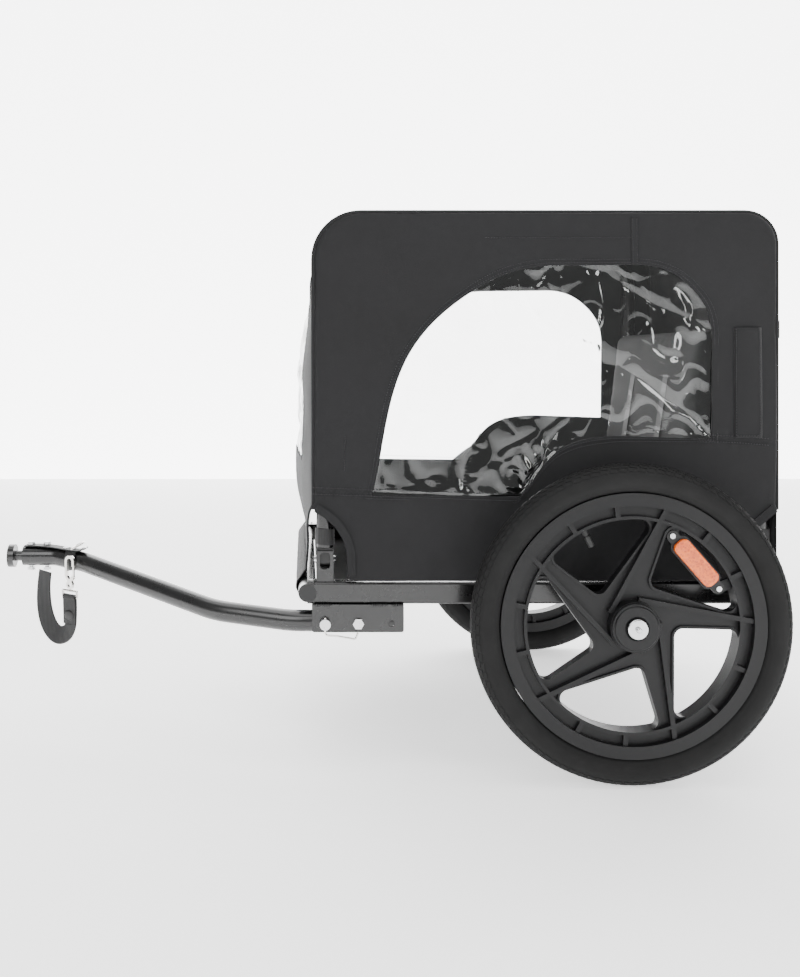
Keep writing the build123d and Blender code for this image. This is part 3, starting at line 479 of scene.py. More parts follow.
brick = shape_of(bmesh.ops.create_cube, size=1)
for side, sign in (("left", -1), ("right", 1)):
    mesh = bmesh.new()
    sections = 72
    points = []
    for i in range(sections + 1):
        radius, out = tyre_profile(i / sections)
        ring = 0.0
        for step_r in (0.171, 0.1745, 0.189):
            ring += 0.00045 * max(0, 1 - abs(radius - step_r) / 0.0007) if abs(out) > tyre_w * 0.3 else 0
        points.append(mesh.verts.new((axle_x, out, axle_z + radius + ring)))
    edges = [mesh.edges.new(pair) for pair in zip(points, points[1:])]
    bmesh.ops.spin(
        mesh,
        geom=points + edges,
        cent=(axle_x, 0, axle_z),
        axis=(0, 1, 0),
        angle=2 * pi,
        steps=240,
        use_merge=True,
    )
    bmesh.ops.remove_doubles(mesh, verts=mesh.verts, dist=1e-5)
    bmesh.ops.recalc_face_normals(mesh, faces=mesh.faces)
    bmesh.ops.translate(mesh, verts=mesh.verts, vec=(0, sign * abs(tyre_low[1] + tyre_high[1]) / 2, 0))
    casing = shown(f"{side}_tyre_casing", mesh, rubber, f"{side}_wheel", angle=60)
    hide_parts(f"{side}_tyre")

    # Tread bricks stand on the casing in staggered rows; each is one small block.
    mesh = bmesh.new()
    for row, along, length, height in (
        (0, 0.5, 0.0095, 0.0042),
        (1, 0.447, 0.0085, 0.0046),
        (2, 0.553, 0.0085, 0.0046),
        (3, 0.394, 0.0088, 0.0048),
        (4, 0.606, 0.0088, 0.0048),
        (5, 0.341, 0.0092, 0.0052),
        (6, 0.659, 0.0092, 0.0052),
    ):
        radius, out = tyre_profile(along)
        tilt = (along - 0.5) * 2 * radians(150)
        for k in range(blocks_round):
            turn = 2 * pi * (k + (row % 3) * 0.36) / blocks_round
            place = (
                Matrix.Translation((axle_x, sign * abs(tyre_low[1] + tyre_high[1]) / 2, axle_z))
                @ Matrix.Rotation(turn, 4, "Y")
                @ Matrix.Translation((0, out, radius - 0.0002))
                @ Matrix.Rotation(-tilt, 4, "X")
                @ Matrix.Rotation(0.14 * (-1) ** row, 4, "Z")
                @ Matrix.Diagonal((length, height, brick_t, 1))
            )
            stamp(mesh, brick, place)
    shown(f"{side}_tyre_tread", mesh, rubber, f"{side}_wheel", smooth=False)

# ---- cover cloth and sewing -------------------------------------------------------------------------------
# 600 denier coated polyester, charcoal: a plain weave about a millimetre across, a dull face and a slight
# sheen. Panels are cut flat, bound or piped at their edges and sewn with bonded thread.
cloth_m, tree, shader, where = new_material("polyester_oxford")
fade = add(tree, "ShaderNodeTexNoise", None, Vector=where, Scale=9, Detail=5)
slub = add(tree, "ShaderNodeTexNoise", None, Vector=where, Scale=520, Detail=2)
mix = add(
    tree,
    "ShaderNodeMix",
    {"data_type": "RGBA"},
    Factor=fade.outputs["Fac"],
    _6=linear("#121213"),
    _7=linear("#1B1B1D"),
)
tree.links.new(mix.outputs[2], shader.inputs["Base Color"])
threads = None
for direction in ("X", "Y", "Z"):
    wave = add(
        tree,
        "ShaderNodeTexWave",
        {"bands_direction": direction},
        Vector=where,
        Scale=260,
        Distortion=0.6,
        Detail=1,
    )
    if threads is None:
        threads = wave.outputs["Fac"]
    else:
        threads = add(
            tree, "ShaderNodeMath", {"operation": "ADD"}, _0=threads, _1=wave.outputs["Fac"]
        ).outputs[0]
weave = add(tree, "ShaderNodeMath", {"operation": "MULTIPLY_ADD"}, _0=slub.outputs["Fac"], _1=1.5, _2=threads)
finish_shader(shader, Roughness=0.78, Sheen_Weight=0.12, Sheen_Roughness=0.5, Specular_IOR_Level=0.3)
bump(tree, shader, weave.outputs[0], 0.35, 0.00035)

thread_m, tree, shader, where = new_material("bonded_thread")
twist = add(tree, "ShaderNodeTexNoise", None, Vector=where, Scale=1500, Detail=1)
finish_shader(shader, Base_Color=linear("#202022"), Roughness=0.55)
bump(tree, shader, twist.outputs["Fac"], 0.4, 0.0003)


def rounded(corners, steps=10):
    """A closed outline through corners given as (x, z, radius)."""
    outline = []
    for i, (x, z, radius) in enumerate(corners):
        here = Vector((x, z))
        if not radius:
            outline.append(here)
            continue
        back = (Vector(corners[i - 1][:2]) - here).normalized()
        ahead = (Vector(corners[(i + 1) % len(corners)][:2]) - here).normalized()
        half = back.angle(ahead) / 2
        centre = here + (back + ahead).normalized() * radius / sin(half)
        start = here + back * radius / (sin(half) / cos(half))
        end = here + ahead * radius / (sin(half) / cos(half))
        a0 = atan2(start.y - centre.y, start.x - centre.x)
        a1 = atan2(end.y - centre.y, end.x - centre.x)
        sweep = (a1 - a0 + pi) % (2 * pi) - pi
        for k in range(steps + 1):
            a = a0 + sweep * k / steps
            outline.append(centre + Vector((cos(a), sin(a))) * radius)
    return outline


def reach(outline, centre, angle):
    """How far the outline lies from the centre in one direction."""
    way = Vector((cos(angle), sin(angle)))
    best = 0
    for a, b in zip(outline, outline[1:] + outline[:1]):
        edge = b - a
        across = way.x * edge.y - way.y * edge.x
        if abs(across) < 1e-12:
            continue
        far = ((a.x - centre.x) * edge.y - (a.y - centre.y) * edge.x) / across
        along = ((a.x - centre.x) * way.y - (a.y - centre.y) * way.x) / across
        if far > 0 and -1e-6 <= along <= 1 + 1e-6:
            best = max(best, far)
    return best


def smooth(value, low, high):
    """0 below low, 1 above high, eased between."""
    t = min(1, max(0, (value - low) / (high - low)))
    return t * t * (3 - 2 * t)


def ring_sheet(inner, outer, centre, around, out, place, closed_inside=False):
    """A sheet between two outlines; place maps (x, z, t) to a point, t being 0 inside and 1 outside."""
    mesh = bmesh.new()
    rings = []
    for i in range(around):
        angle = 2 * pi * i / around
        r0 = reach(inner, centre, angle) if inner else 0
        r1 = reach(outer, centre, angle)
        way = Vector((cos(angle), sin(angle)))
        column = []
        for j in range(1 if closed_inside else 0, out + 1):
            t = j / out
            spot = centre + way * (r0 + (r1 - r0) * t)
            column.append(mesh.verts.new(place(spot.x, spot.y, t)))
        rings.append(column)
    for a, b in zip(rings, rings[1:] + rings[:1]):
        for j in range(len(a) - 1):
            mesh.faces.new((a[j], a[j + 1], b[j + 1], b[j]))
    if closed_inside:
        middle = mesh.verts.new(place(centre.x, centre.y, 0))
        for a, b in zip(rings, rings[1:] + rings[:1]):
            mesh.faces.new((middle, a[0], b[0]))
    return mesh


def face_out(mesh, way):
    """Turns the sheet's faces to look along way."""
    bmesh.ops.recalc_face_normals(mesh, faces=mesh.faces)
    total = Vector((0, 0, 0))
    for face in mesh.faces:
        total += face.normal * face.calc_area()
    if total.dot(Vector(way)) < 0:
        bmesh.ops.reverse_faces(mesh, faces=mesh.faces)


def thicken(piece, thickness):
    """Gives a sheet its cloth thickness, inward from its face."""
    solid = piece.modifiers.new("thickness", "SOLIDIFY")
    solid.thickness = thickness
    solid.offset = -1


def tube_along(mesh, points, radius, sides=10):
    """A round cord through points, closed at its ends."""
    rings = []
    normal = None
    for i, point in enumerate(points):
        way = (points[min(i + 1, len(points) - 1)] - points[max(i - 1, 0)]).normalized()
        if normal is None:
            normal = way.orthogonal().normalized()
        normal = (normal - way * normal.dot(way)).normalized()
        other = way.cross(normal)
        turns = [2 * pi * k / sides for k in range(sides)]
        rings.append(
            [
                mesh.verts.new(point + (normal * cos(turn) + other * sin(turn)) * radius)
                for turn in turns
            ]
        )
    for a, b in zip(rings, rings[1:]):
        for k in range(sides):
            mesh.faces.new((a[k], a[(k + 1) % sides], b[(k + 1) % sides], b[k]))
    mesh.faces.new(rings[0][::-1])
    mesh.faces.new(rings[-1])


def even(points, pitch):
    """Points at an even pitch along a line of points."""
    points = [Vector(p) for p in points]
    found = [points[0]]
    left = pitch
    for a, b in zip(points, points[1:]):
        length = (b - a).length
        gone = 0
        while length - gone >= left:
            gone += left
            found.append(a.lerp(b, gone / length))
            left = pitch
        left -= length - gone
    return found


dash = shape_of(bmesh.ops.create_uvsphere, u_segments=6, v_segments=4, radius=1)


def stitches(mesh, points, pitch=0.0036, length=0.0026, thick=0.0005):
    """A row of stitches along a line of points on the cloth, each a small raised dash."""
    line = even(points, pitch)
    for a, b in zip(line, line[1:]):
        turn = (b - a).normalized().to_track_quat("X", "Z").to_matrix().to_4x4()
        stamp(mesh, dash, Matrix.Translation(a) @ turn @ Matrix.Diagonal((length / 2, thick, thick, 1)))


def band(mesh, points, sides_of, width, thick):
    """A flat strip along points; sides_of gives each point's direction across the strip."""
    rings = []
    for i, point in enumerate(points):
        way = (points[min(i + 1, len(points) - 1)] - points[max(i - 1, 0)]).normalized()
        across = Vector(sides_of(i)).normalized()
        up = across.cross(way).normalized()
        ring = []
        for a, b in ((-1, -1), (-0.9, 1), (0.9, 1), (1, -1)):
            ring.append(mesh.verts.new(point + across * a * width / 2 + up * b * thick / 2))
        rings.append(ring)
    for a, b in zip(rings, rings[1:]):
        for k in range(4):
            mesh.faces.new((a[k], a[(k + 1) % 4], b[(k + 1) % 4], b[k]))
    mesh.faces.new(rings[0][::-1])
    mesh.faces.new(rings[-1])
    bmesh.ops.recalc_face_normals(mesh, faces=mesh.faces)


# ---- cabin sides ------------------------------------------------------------------------------------------
# Each side is a flat-cut oxford panel sewn round its hoop: a clear window, a skirt panel below, piping down
# the front and rear, bound notches at the hinges and a stitched flag pocket. It is tight, with soft strain
# folds.
cabin_front = 0.397
cabin_rear = 0.2075
cabin_top = 0.7225
side_y = 0.2665
corner_front = 0.062
corner_rear = 0.042
centre = Vector((axle_x - 0.06, 0.52))
notch = (
    (-0.3965, 0.335), (-0.384, 0.328), (-0.368, 0.314), (-0.357, 0.297), (-0.351, 0.279), (-0.3495, 0.2425)
)
side_outline = (
    [Vector((axle_x + x, z)) for x, z in notch]
    + [Vector((axle_x + x, z)) for x, z in ((0.162, 0.2425), (0.165, 0.28), (0.178, 0.31), (cabin_rear, 0.335))]
    + rounded(
        [
            (axle_x + cabin_rear, 0.335, 0),
            (axle_x + cabin_rear, cabin_top, corner_rear),
            (axle_x - cabin_front, cabin_top, corner_front),
            (axle_x - cabin_front, 0.335, 0),
        ]
    )[1:-1]
)
seam_points = ((-0.396, 0.3595), (-0.3, 0.3565), (-0.2, 0.353), (-0.118, 0.3505))
seam_front = [Vector((axle_x + x, z)) for x, z in seam_points]
seam_rear = [Vector((axle_x + x, z)) for x, z in ((0.118, 0.428), (0.16, 0.426), (cabin_rear, 0.422))]
seam_top = [Vector((axle_x + 0.0205, z)) for z in (0.654, 0.68, 0.7, cabin_top - 0.004)]
seam_low = [Vector((axle_x - 0.172 + 0.0965 * k, 0.6885)) for k in range(3)]


def near_line(x, z, line):
    """Distance from a point of the side to a seam."""
    spot = Vector((x, z))
    best = 1
    for a, b in zip(line, line[1:]):
        edge = b - a
        t = min(1, max(0, (spot - a).dot(edge) / edge.length_squared))
        best = min(best, (spot - a - edge * t).length)
    return best


def side_relief(x, z, hand):
    """How far the side's cloth stands out of its plane."""
    u = min(1, max(0, (x - axle_x + cabin_front) / (cabin_front + cabin_rear)))
    v = min(1, max(0, (z - 0.24) / (cabin_top - 0.24)))
    belly = 0.0035 * sin(pi * u) * sin(pi * v)
    broad = 0.0026 * noise.noise(Vector((x * 6 + hand, z * 8, 1.7)))
    fold = 0.0011 * noise.noise(Vector((x * 21 - z * 13, z * 17 + x * 6, 4.1 + hand)))
    skirt = 0.0022 * (1 - smooth(z, 0.33, 0.365)) * noise.noise(Vector((x * 26 + z * 9, z * 5, 9.3 + hand)))
    seams = min(near_line(x, z, seam_front), near_line(x, z, seam_rear))
    pucker = 0.0009 * noise.noise(Vector((x * 130, z * 40, hand))) * (1 - smooth(seams, 0.004, 0.02))
    groove = -0.0014 * (1 - smooth(seams, 0.0005, 0.0035))
    return belly + broad + fold + skirt + pucker + groove


def on_side(sign, lift=0.0):
    """Maps a point of the side's plan onto its cloth, lifted off it."""

    def place(x, z, t=0.0):
        inward = 0.006 * max(0, (t - 0.955) / 0.045) ** 2 if z > 0.34 else 0.0
        return Vector((x, sign * (side_y + side_relief(x, z, sign) - inward + lift), z))

    return place


def window_edge(node):
    """A CAD window's outline in the side's plan, in order round it."""
    low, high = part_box(node)
    spots = {}
    for vertex in frame["nodes"][node].data.vertices:
        spot = Vector((vertex.co.x, vertex.co.z))
        spots[(round(spot.x, 5), round(spot.y, 5))] = spot
    middle = Vector(((low.x + high.x) / 2 - 0.02, (low.z + high.z) / 2 + 0.02))
    return sorted(spots.values(), key=lambda s: atan2(s.y - middle.y, s.x - middle.x))


for name, sign in (("left", -1), ("right", 1)):
    side = f"{name}_side"
    window = window_edge(f"{name}_side_window")
    place = on_side(sign)
    mesh = ring_sheet(window, side_outline, centre, 520, 56, place)
    face_out(mesh, (0, sign, 0))
    cloth = shown(f"{name}_side_cloth", mesh, cloth_m, None, angle=60)
    thicken(cloth, 0.0012)
    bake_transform(cloth)
    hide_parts(f"{name}_side_panel")

    # Window binding: the vinyl's edge is covered by the cloth, which is turned in and sewn twice.
    loop = list(window) + [window[0]]
    mesh = bmesh.new()
    for offset in (0.0035, 0.0085):
        line = []
        for spot in loop:
            way = (spot - centre).normalized()
            moved = spot + way * offset
            line.append(on_side(sign, 0.0002)(moved.x, moved.y))
        stitches(mesh, line)
    for seam in (seam_front, seam_rear):
        for offset in (-0.0042, 0.0042):
            line = even([Vector((s.x, s.y + offset, 0)) for s in seam], 0.01)
            stitches(mesh, [on_side(sign, 0.0002)(s.x, s.y) for s in line])
    for offset in (-0.0028, 0.0028):
        line = even([Vector((s.x + offset, s.y, 0)) for s in seam_top], 0.008)
        stitches(mesh, [on_side(sign, 0.0014)(s.x, s.y) for s in line])
    line = even([Vector((s.x, s.y, 0)) for s in seam_low], 0.008)
    stitches(mesh, [on_side(sign, 0.0002)(s.x, s.y) for s in line])
    slit = ((-0.356, 0.386), (-0.3555, 0.41), (-0.3545, 0.435))
    line = even([Vector((axle_x + x, z, 0)) for x, z in slit], 0.008)
    stitches(mesh, [on_side(sign, 0.0002)(s.x, s.y) for s in line], pitch=0.0022, length=0.002, thick=0.0007)
    pocket_corners = ((0.152, 0.569), (0.152, 0.431), (0.183, 0.431), (0.183, 0.569))
    pocket = [Vector((axle_x + x, z, 0)) for x, z in pocket_corners]
    line = even(pocket + [pocket[0]], 0.006)
    stitches(mesh, [on_side(sign, 0.0017)(s.x, s.y) for s in line])
    thread = shown(f"{name}_side_stitches", mesh, thread_m, side)

    # Flag pocket: a second layer of the cloth, 31 by 138 mm, open at its top.
    mesh = bmesh.new()
    columns, rows = 8, 28
    grid = []
    for i in range(columns + 1):
        row = []
        for j in range(rows + 1):
            x = axle_x + 0.1495 + 0.036 * i / columns
            z = 0.4285 + 0.143 * j / rows
            rise = 0.0012 + 0.0016 * sin(pi * i / columns) * smooth(j / rows, 0, 0.3)
            row.append(mesh.verts.new(on_side(sign, rise)(x, z)))
        grid.append(row)
    for a, b in zip(grid, grid[1:]):
        for j in range(rows):
            mesh.faces.new((a[j], a[j + 1], b[j + 1], b[j]))
    face_out(mesh, (0, sign, 0))
    pocket_cloth = shown(f"{name}_flag_pocket", mesh, cloth_m, side, angle=60)
    thicken(pocket_cloth, 0.0016)

    # Top seam: the lapped joint between the front and rear halves of the upper panel.
    mesh = bmesh.new()
    line = even([Vector((s.x, s.y, 0)) for s in seam_top], 0.006)
    band(mesh, [on_side(sign, 0.0007)(s.x, s.y) for s in line], lambda i: (1, 0, 0), 0.009, 0.0014)
    lap = shown(f"{name}_top_lap", mesh, cloth_m, side)

    # Piping: cord in folded cloth, sewn into the edge between side and roof, front and rear.
    mesh = bmesh.new()
    run = [s for s in side_outline[1:] if s.y > 0.334] + side_outline[:1]
    tube_along(mesh, [Vector((s.x, sign * (side_y - 0.0045), s.y)) for s in run], 0.0024)
    bmesh.ops.recalc_face_normals(mesh, faces=mesh.faces)
    piping = shown(f"{name}_side_piping", mesh, cloth_m, side)

    # Binding: woven tape folded over the cut edge of each notch.
    mesh = bmesh.new()
    for cut in (notch, ((0.162, 0.2425), (0.165, 0.28), (0.178, 0.31), (cabin_rear, 0.335))):
        line = even([Vector((axle_x + x, z, 0)) for x, z in cut], 0.004)
        inside = [Vector((s.x, s.y)) + (centre - Vector((s.x, s.y))).normalized() * 0.0045 for s in line]
        spots = [on_side(sign, 0.0003)(s.x, s.y) for s in inside]

        def out_of_edge(i, spots=spots):
            way = spots[min(i + 1, len(spots) - 1)] - spots[max(i - 1, 0)]
            return Vector((-way.z, 0, way.x))

        band(mesh, spots, out_of_edge, 0.011, 0.0032)
    binding = shown(f"{name}_notch_binding", mesh, cloth_m, None)
    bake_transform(binding)

# ---- clear windows ----------------------------------------------------------------------------------------
# 0.5 mm clear vinyl, sewn in behind the cloth. It never lies flat: broad waves, tight folds where it was
# rolled and small crush marks catch the light. A faint haze and dust keep it from being invisible.
vinyl, tree, shader, where = new_material("clear_vinyl")
smears = add(tree, "ShaderNodeTexNoise", None, Vector=where, Scale=16, Detail=6, Distortion=0.8)
dust = add(tree, "ShaderNodeTexVoronoi", {"feature": "F1"}, Vector=where, Scale=150)
speck = add(
    tree,
    "ShaderNodeMapRange",
    None,
    Value=dust.outputs["Distance"],
    From_Min=0.05,
    From_Max=0.09,
    To_Min=0.3,
    To_Max=0.0,
)
rare = add(tree, "ShaderNodeMapRange", None, Value=smears.outputs["Fac"], From_Min=0.6, From_Max=0.68)
spots = add(
    tree, "ShaderNodeMath", {"operation": "MULTIPLY"}, _0=speck.outputs["Result"], _1=rare.outputs["Result"]
)
haze = add(
    tree,
    "ShaderNodeMapRange",
    None,
    Value=smears.outputs["Fac"],
    From_Min=0.35,
    From_Max=0.8,
    To_Min=0.03,
    To_Max=0.06,
)
mirror = add(tree, "ShaderNodeFresnel", None, IOR=1.54)
cover = add(tree, "ShaderNodeMath", {"operation": "ADD"}, _0=mirror.outputs["Fac"], _1=haze.outputs["Result"])
total = add(
    tree, "ShaderNodeMath", {"operation": "ADD", "use_clamp": True}, _0=cover.outputs[0], _1=spots.outputs[0]
)
tree.links.new(total.outputs[0], shader.inputs["Alpha"])
finish_shader(shader, Base_Color=linear("#EDEFEE"), Metallic=1.0, Roughness=0.06)


def crumple(x, z, seed):
    """Relief of handled vinyl: waves, plus a few sharp fold lines."""
    waves = 0.0032 * noise.noise(Vector((x * 9 + seed, z * 8, seed)))
    folds = 0.0
    for k, (size, depth) in enumerate(((7, 0.0034), (15, 0.0016), (33, 0.0007))):
        value = noise.noise(Vector((x * size + z * 3 + seed, z * size * 0.8 - x * 2, seed + k * 5.3)))
        folds += depth * (1 - min(1, abs(value) * 5)) ** 2
    return waves + folds


for name, sign in (("left", -1), ("right", 1)):
    window = window_edge(f"{name}_side_window")

    def pane(x, z, t, sign=sign):
        held = 1 - smooth(t, 0.9, 1.0)
        column = smooth(x, axle_x + 0.06, axle_x + 0.09) * (1 - smooth(x, axle_x + 0.112, axle_x + 0.122))
        rear = 0.0022 * column * sin(z * 95 + 4 * noise.noise(Vector((x * 30, z * 12, 2))))
        arch = (1 - smooth(z, 0.39, 0.43)) * smooth(x, axle_x - 0.15, axle_x - 0.1)
        low = 0.0026 * arch * sin(x * 260 + z * 120)
        top = 0.002 * smooth(z, 0.61, 0.64) * noise.noise(Vector((x * 38, z * 60, 7)))
        relief = crumple(x, z, 3.0 * sign) + rear + low + top
        return Vector((x, sign * (side_y - 0.0014 + side_relief(x, z, sign) * 0.4 - abs(relief) * held), z))

    grown = [s + (s - centre).normalized() * 0.006 for s in window]
    mesh = ring_sheet(None, grown, centre, 420, 110, pane, closed_inside=True)
    face_out(mesh, (0, sign, 0))
    sheet = shown(f"{name}_window_vinyl", mesh, vinyl, f"{name}_side", angle=80)
    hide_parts(f"{name}_side_window")

# ---- roof -------------------------------------------------------------------------------------------------
# One oxford sheet over both hoops, from the head of the front cover to the head of the rear one, sewn to the
# side panels at the piping. It sags a little between the hoops.
roof_line = rounded(
    [
        (axle_x - cabin_front, 0.3, 0),
        (axle_x - cabin_front, cabin_top, corner_front),
        (axle_x + cabin_rear, cabin_top, corner_rear),
        (axle_x + cabin_rear, 0.3, 0),
    ]
)
roof_line = roof_line[1:-1]
roof_line = [Vector((axle_x - cabin_front, 0.652))] + roof_line + [Vector((axle_x + cabin_rear, 0.672))]
run = even([Vector((s.x, 0, s.y)) for s in roof_line], 0.006)
half_roof = side_y - 0.0045
mesh = bmesh.new()
columns = 90
grid = []
for i, spot in enumerate(run):
    way = (run[min(i + 1, len(run) - 1)] - run[max(i - 1, 0)]).normalized()
    up = Vector((-way.z, 0, way.x))
    row = []
    for j in range(columns + 1):
        y = half_roof * (2 * j / columns - 1)
        edge = 1 - abs(y) / half_roof
        along = min(1, max(0, (spot.x - axle_x + cabin_front) / (cabin_front + cabin_rear)))
        sag = 0.009 * sin(pi * along) * smooth(edge, 0, 0.9) * max(0, up.z)
        soft = 0.0022 * noise.noise(Vector((spot.x * 8, y * 9, 3.3))) * smooth(edge, 0, 0.12)
        fine = 0.0009 * noise.noise(Vector((spot.x * 30, y * 18, 8.8))) * smooth(edge, 0, 0.06)
        row.append(mesh.verts.new(spot + Vector((0, y, 0)) + up * (soft + fine - sag)))
    grid.append(row)
for a, b in zip(grid, grid[1:]):
    for j in range(columns):
        mesh.faces.new((a[j], a[j + 1], b[j + 1], b[j]))
face_out(mesh, (0, 0, 1))
roof = shown("roof_cloth", mesh, cloth_m, "frame", angle=60)
mesh = bmesh.new()
for x in (axle_x - cabin_front + 0.075, axle_x + cabin_rear - 0.06):
    for offset in (-0.003, 0.003):
        nearest = min(range(len(run)), key=lambda i: abs(run[i].x - x) + abs(run[i].z - cabin_top))
        line = []
        y = -half_roof + 0.01
        while y < half_roof - 0.01:
            along = (x - axle_x + cabin_front) / (cabin_front + cabin_rear)
            edge = 1 - abs(y) / half_roof
            z = cabin_top - 0.009 * sin(pi * along) * smooth(edge, 0, 0.9)
            z += 0.0022 * noise.noise(Vector((run[nearest].x * 8, y * 9, 3.3))) * smooth(edge, 0, 0.12)
            z += 0.0009 * noise.noise(Vector((run[nearest].x * 30, y * 18, 8.8))) * smooth(edge, 0, 0.06)
            line.append(Vector((x + offset, y, z + 0.0004)))
            y += 0.01
        stitches(mesh, line)
roof_thread = shown("roof_stitches", mesh, thread_m, "frame")
thicken(roof, 0.0012)
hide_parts("roof_cover")

for piece in (roof, roof_thread):
    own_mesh(piece)

# ---- front cover ------------------------------------------------------------------------------------------
# The front cover rolls up from below: oxford borders round a clear window, black mesh under it. Air and
# handling leave it bellied forward, and its lower edge is pulled under the front cross tube.
front_x = axle_x - cabin_front
front_half = 0.2615
front_top = 0.655
front_low = 0.2455
front_pane = rounded([(-0.2, 0.395, 0.04), (0.2, 0.395, 0.04), (0.2, 0.628, 0.04), (-0.2, 0.628, 0.04)])
front_pane = front_pane[::-1]
front_edge = [
    Vector(s)
    for s in (
        (-front_half, front_top),
        (-front_half, 0.345),
        (-0.247, 0.333),
        (-0.233, 0.312),
        (-0.226, 0.285),
        (-0.224, front_low),
        (0.224, front_low),
        (0.226, 0.285),
        (0.233, 0.312),
        (0.247, 0.333),
        (front_half, 0.345),
        (front_half, front_top),
    )
]


def on_front(y, z, t=0.0, lift=0.0):
    """A point of the front cover, bellied forward, from its plan."""
    across = max(0, 1 - (abs(y) / front_half) ** 2)
    up = smooth(z, front_low - 0.02, 0.36) * (1 - smooth(z, 0.5, 0.66))
    belly = 0.024 * across**0.7 * up + 0.008 * (1 - smooth(z, 0.24, 0.3))
    broad = 0.004 * noise.noise(Vector((y * 8, z * 7, 5.5))) * across
    fold = 0.0016 * noise.noise(Vector((y * 24, z * 20, 2.5)))
    return Vector((front_x - belly - broad - fold - lift, y, z))


pane_centre = Vector((0, 0.5))
mesh = ring_sheet(front_pane, front_edge, pane_centre, 420, 40, on_front)
face_out(mesh, (-1, 0, 0))
front = shown("front_cloth", mesh, cloth_m, "frame", angle=60)
thicken(front, 0.0012)
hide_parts("front_cover")


def front_vinyl(y, z, t):
    """The front window's vinyl, crumpled where the cover was rolled."""
    held = 1 - smooth(t, 0.92, 1.0)
    relief = crumple(y, z, 11.0) + 0.002 * sin(z * 120 + 3 * noise.noise(Vector((y * 9, z * 9, 4))))
    return on_front(y, z) + Vector((0.0014 + abs(relief) * held, 0, 0))


grown = [s + (s - pane_centre).normalized() * 0.006 for s in front_pane]
mesh = ring_sheet(None, grown, pane_centre, 360, 80, front_vinyl, closed_inside=True)
face_out(mesh, (-1, 0, 0))
pane_piece = shown("front_window_vinyl", mesh, vinyl, "frame", angle=80)
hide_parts("front_window")
mesh = bmesh.new()
for offset in (0.0035, 0.0085):
    line = []
    for spot in front_pane + front_pane[:1]:
        moved = spot + (spot - pane_centre).normalized() * offset
        line.append(on_front(moved.x, moved.y, 0, 0.0003))
    stitches(mesh, line)
front_thread = shown("front_stitches", mesh, thread_m, "frame")

# Lower hem: the cloth goes on down in front of the cross tube and hooks under it.
front_tube_low, front_tube_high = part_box("front_cross_tube")
tube_x = (front_tube_low[0] + front_tube_high[0]) / 2
tube_z = (front_tube_low[2] + front_tube_high[2]) / 2
wrap_r = (front_tube_high[2] - front_tube_low[2]) / 2 + 0.0022
mesh = bmesh.new()
columns = 110
grid = []
for j in range(columns + 1):
    y = 0.224 * (2 * j / columns - 1)
    top = on_front(y, front_low + 0.004, 0, 0.0014)
    row = [mesh.verts.new(top)]
    for k in range(15):
        a = radians(150 + 8.6 * k)
        ripple = 0.0007 * noise.noise(Vector((y * 40, k * 0.4, 1)))
        swell = wrap_r + 0.0016 * (1 - k / 14) + ripple
        row.append(mesh.verts.new((tube_x + swell * cos(a), y, tube_z + swell * sin(a))))
    grid.append(row)
for a, b in zip(grid, grid[1:]):
    for j in range(len(a) - 1):
        mesh.faces.new((a[j], a[j + 1], b[j + 1], b[j]))
face_out(mesh, (-1, 0, 0))
hem = shown("front_hem", mesh, cloth_m, "frame", angle=60)
thicken(hem, 0.0012)

mesh = bmesh.new()
for side in (-1, 1):
    cut = [s for s in front_edge if s.x * side > 0 and s.y < 0.35]
    if side > 0:
        cut = cut[::-1]
    line = even([Vector((s.x, s.y, 0)) for s in cut], 0.004)
    spots = [on_front(s.x, s.y, 0, 0.0004) for s in line]

    def off_edge(i, spots=spots):
        way = spots[min(i + 1, len(spots) - 1)] - spots[max(i - 1, 0)]
        return Vector((0, -way.z, way.y))

    band(mesh, spots, off_edge, 0.011, 0.003)
front_binding = shown("front_notch_binding", mesh, cloth_m, "frame")
for piece in (front, pane_piece, front_thread, front_binding):
    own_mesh(piece)

# ---- rear cover and zip -----------------------------------------------------------------------------------
# Plain oxford panel, zipped down its left edge, so that the boot opens from behind. Coil zip on woven tape.
rear_low, rear_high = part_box("rear_cover")
mesh = bmesh.new()
columns, rows = 90, 76
grid = []
for i in range(columns + 1):
    row = []
    for j in range(rows + 1):
        y = rear_low[1] + (rear_high[1] - rear_low[1]) * i / columns
        z = rear_low[2] + (rear_high[2] + 0.004 - rear_low[2]) * j / rows
        edge = min(smooth(i / columns, 0.09, 0.25), smooth(1 - i / columns, 0, 0.1), smooth(j / rows, 0, 0.12))
        soft = 0.0035 * noise.noise(Vector((y * 9, z * 8, 12.1)))
        soft += 0.001 * noise.noise(Vector((y * 26, z * 30, 2)))
        x = rear_high[0] - 0.0006 + (soft - 0.002) * edge
        row.append(mesh.verts.new((x, y, z)))
    grid.append(row)
for a, b in zip(grid, grid[1:]):
    for j in range(rows):
        mesh.faces.new((a[j], a[j + 1], b[j + 1], b[j]))
face_out(mesh, (1, 0, 0))
rear = shown("rear_cloth", mesh, cloth_m, "frame", angle=60)
thicken(rear, 0.0012)
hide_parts("rear_cover")
mesh = bmesh.new()
for y in (rear_low[1] + 0.006, rear_high[1] - 0.006):
    line = [Vector((rear_high[0] - 0.0004, y, rear_low[2] + 0.006 + 0.01 * k)) for k in range(41)]
    stitches(mesh, line)
for z in (rear_low[2] + 0.006, rear_low[2] + 0.012):
    line = [Vector((rear_high[0] - 0.0004, rear_low[1] + 0.006 + 0.01 * k, z)) for k in range(51)]
    stitches(mesh, line)
rear_thread = shown("rear_stitches", mesh, thread_m, "frame")

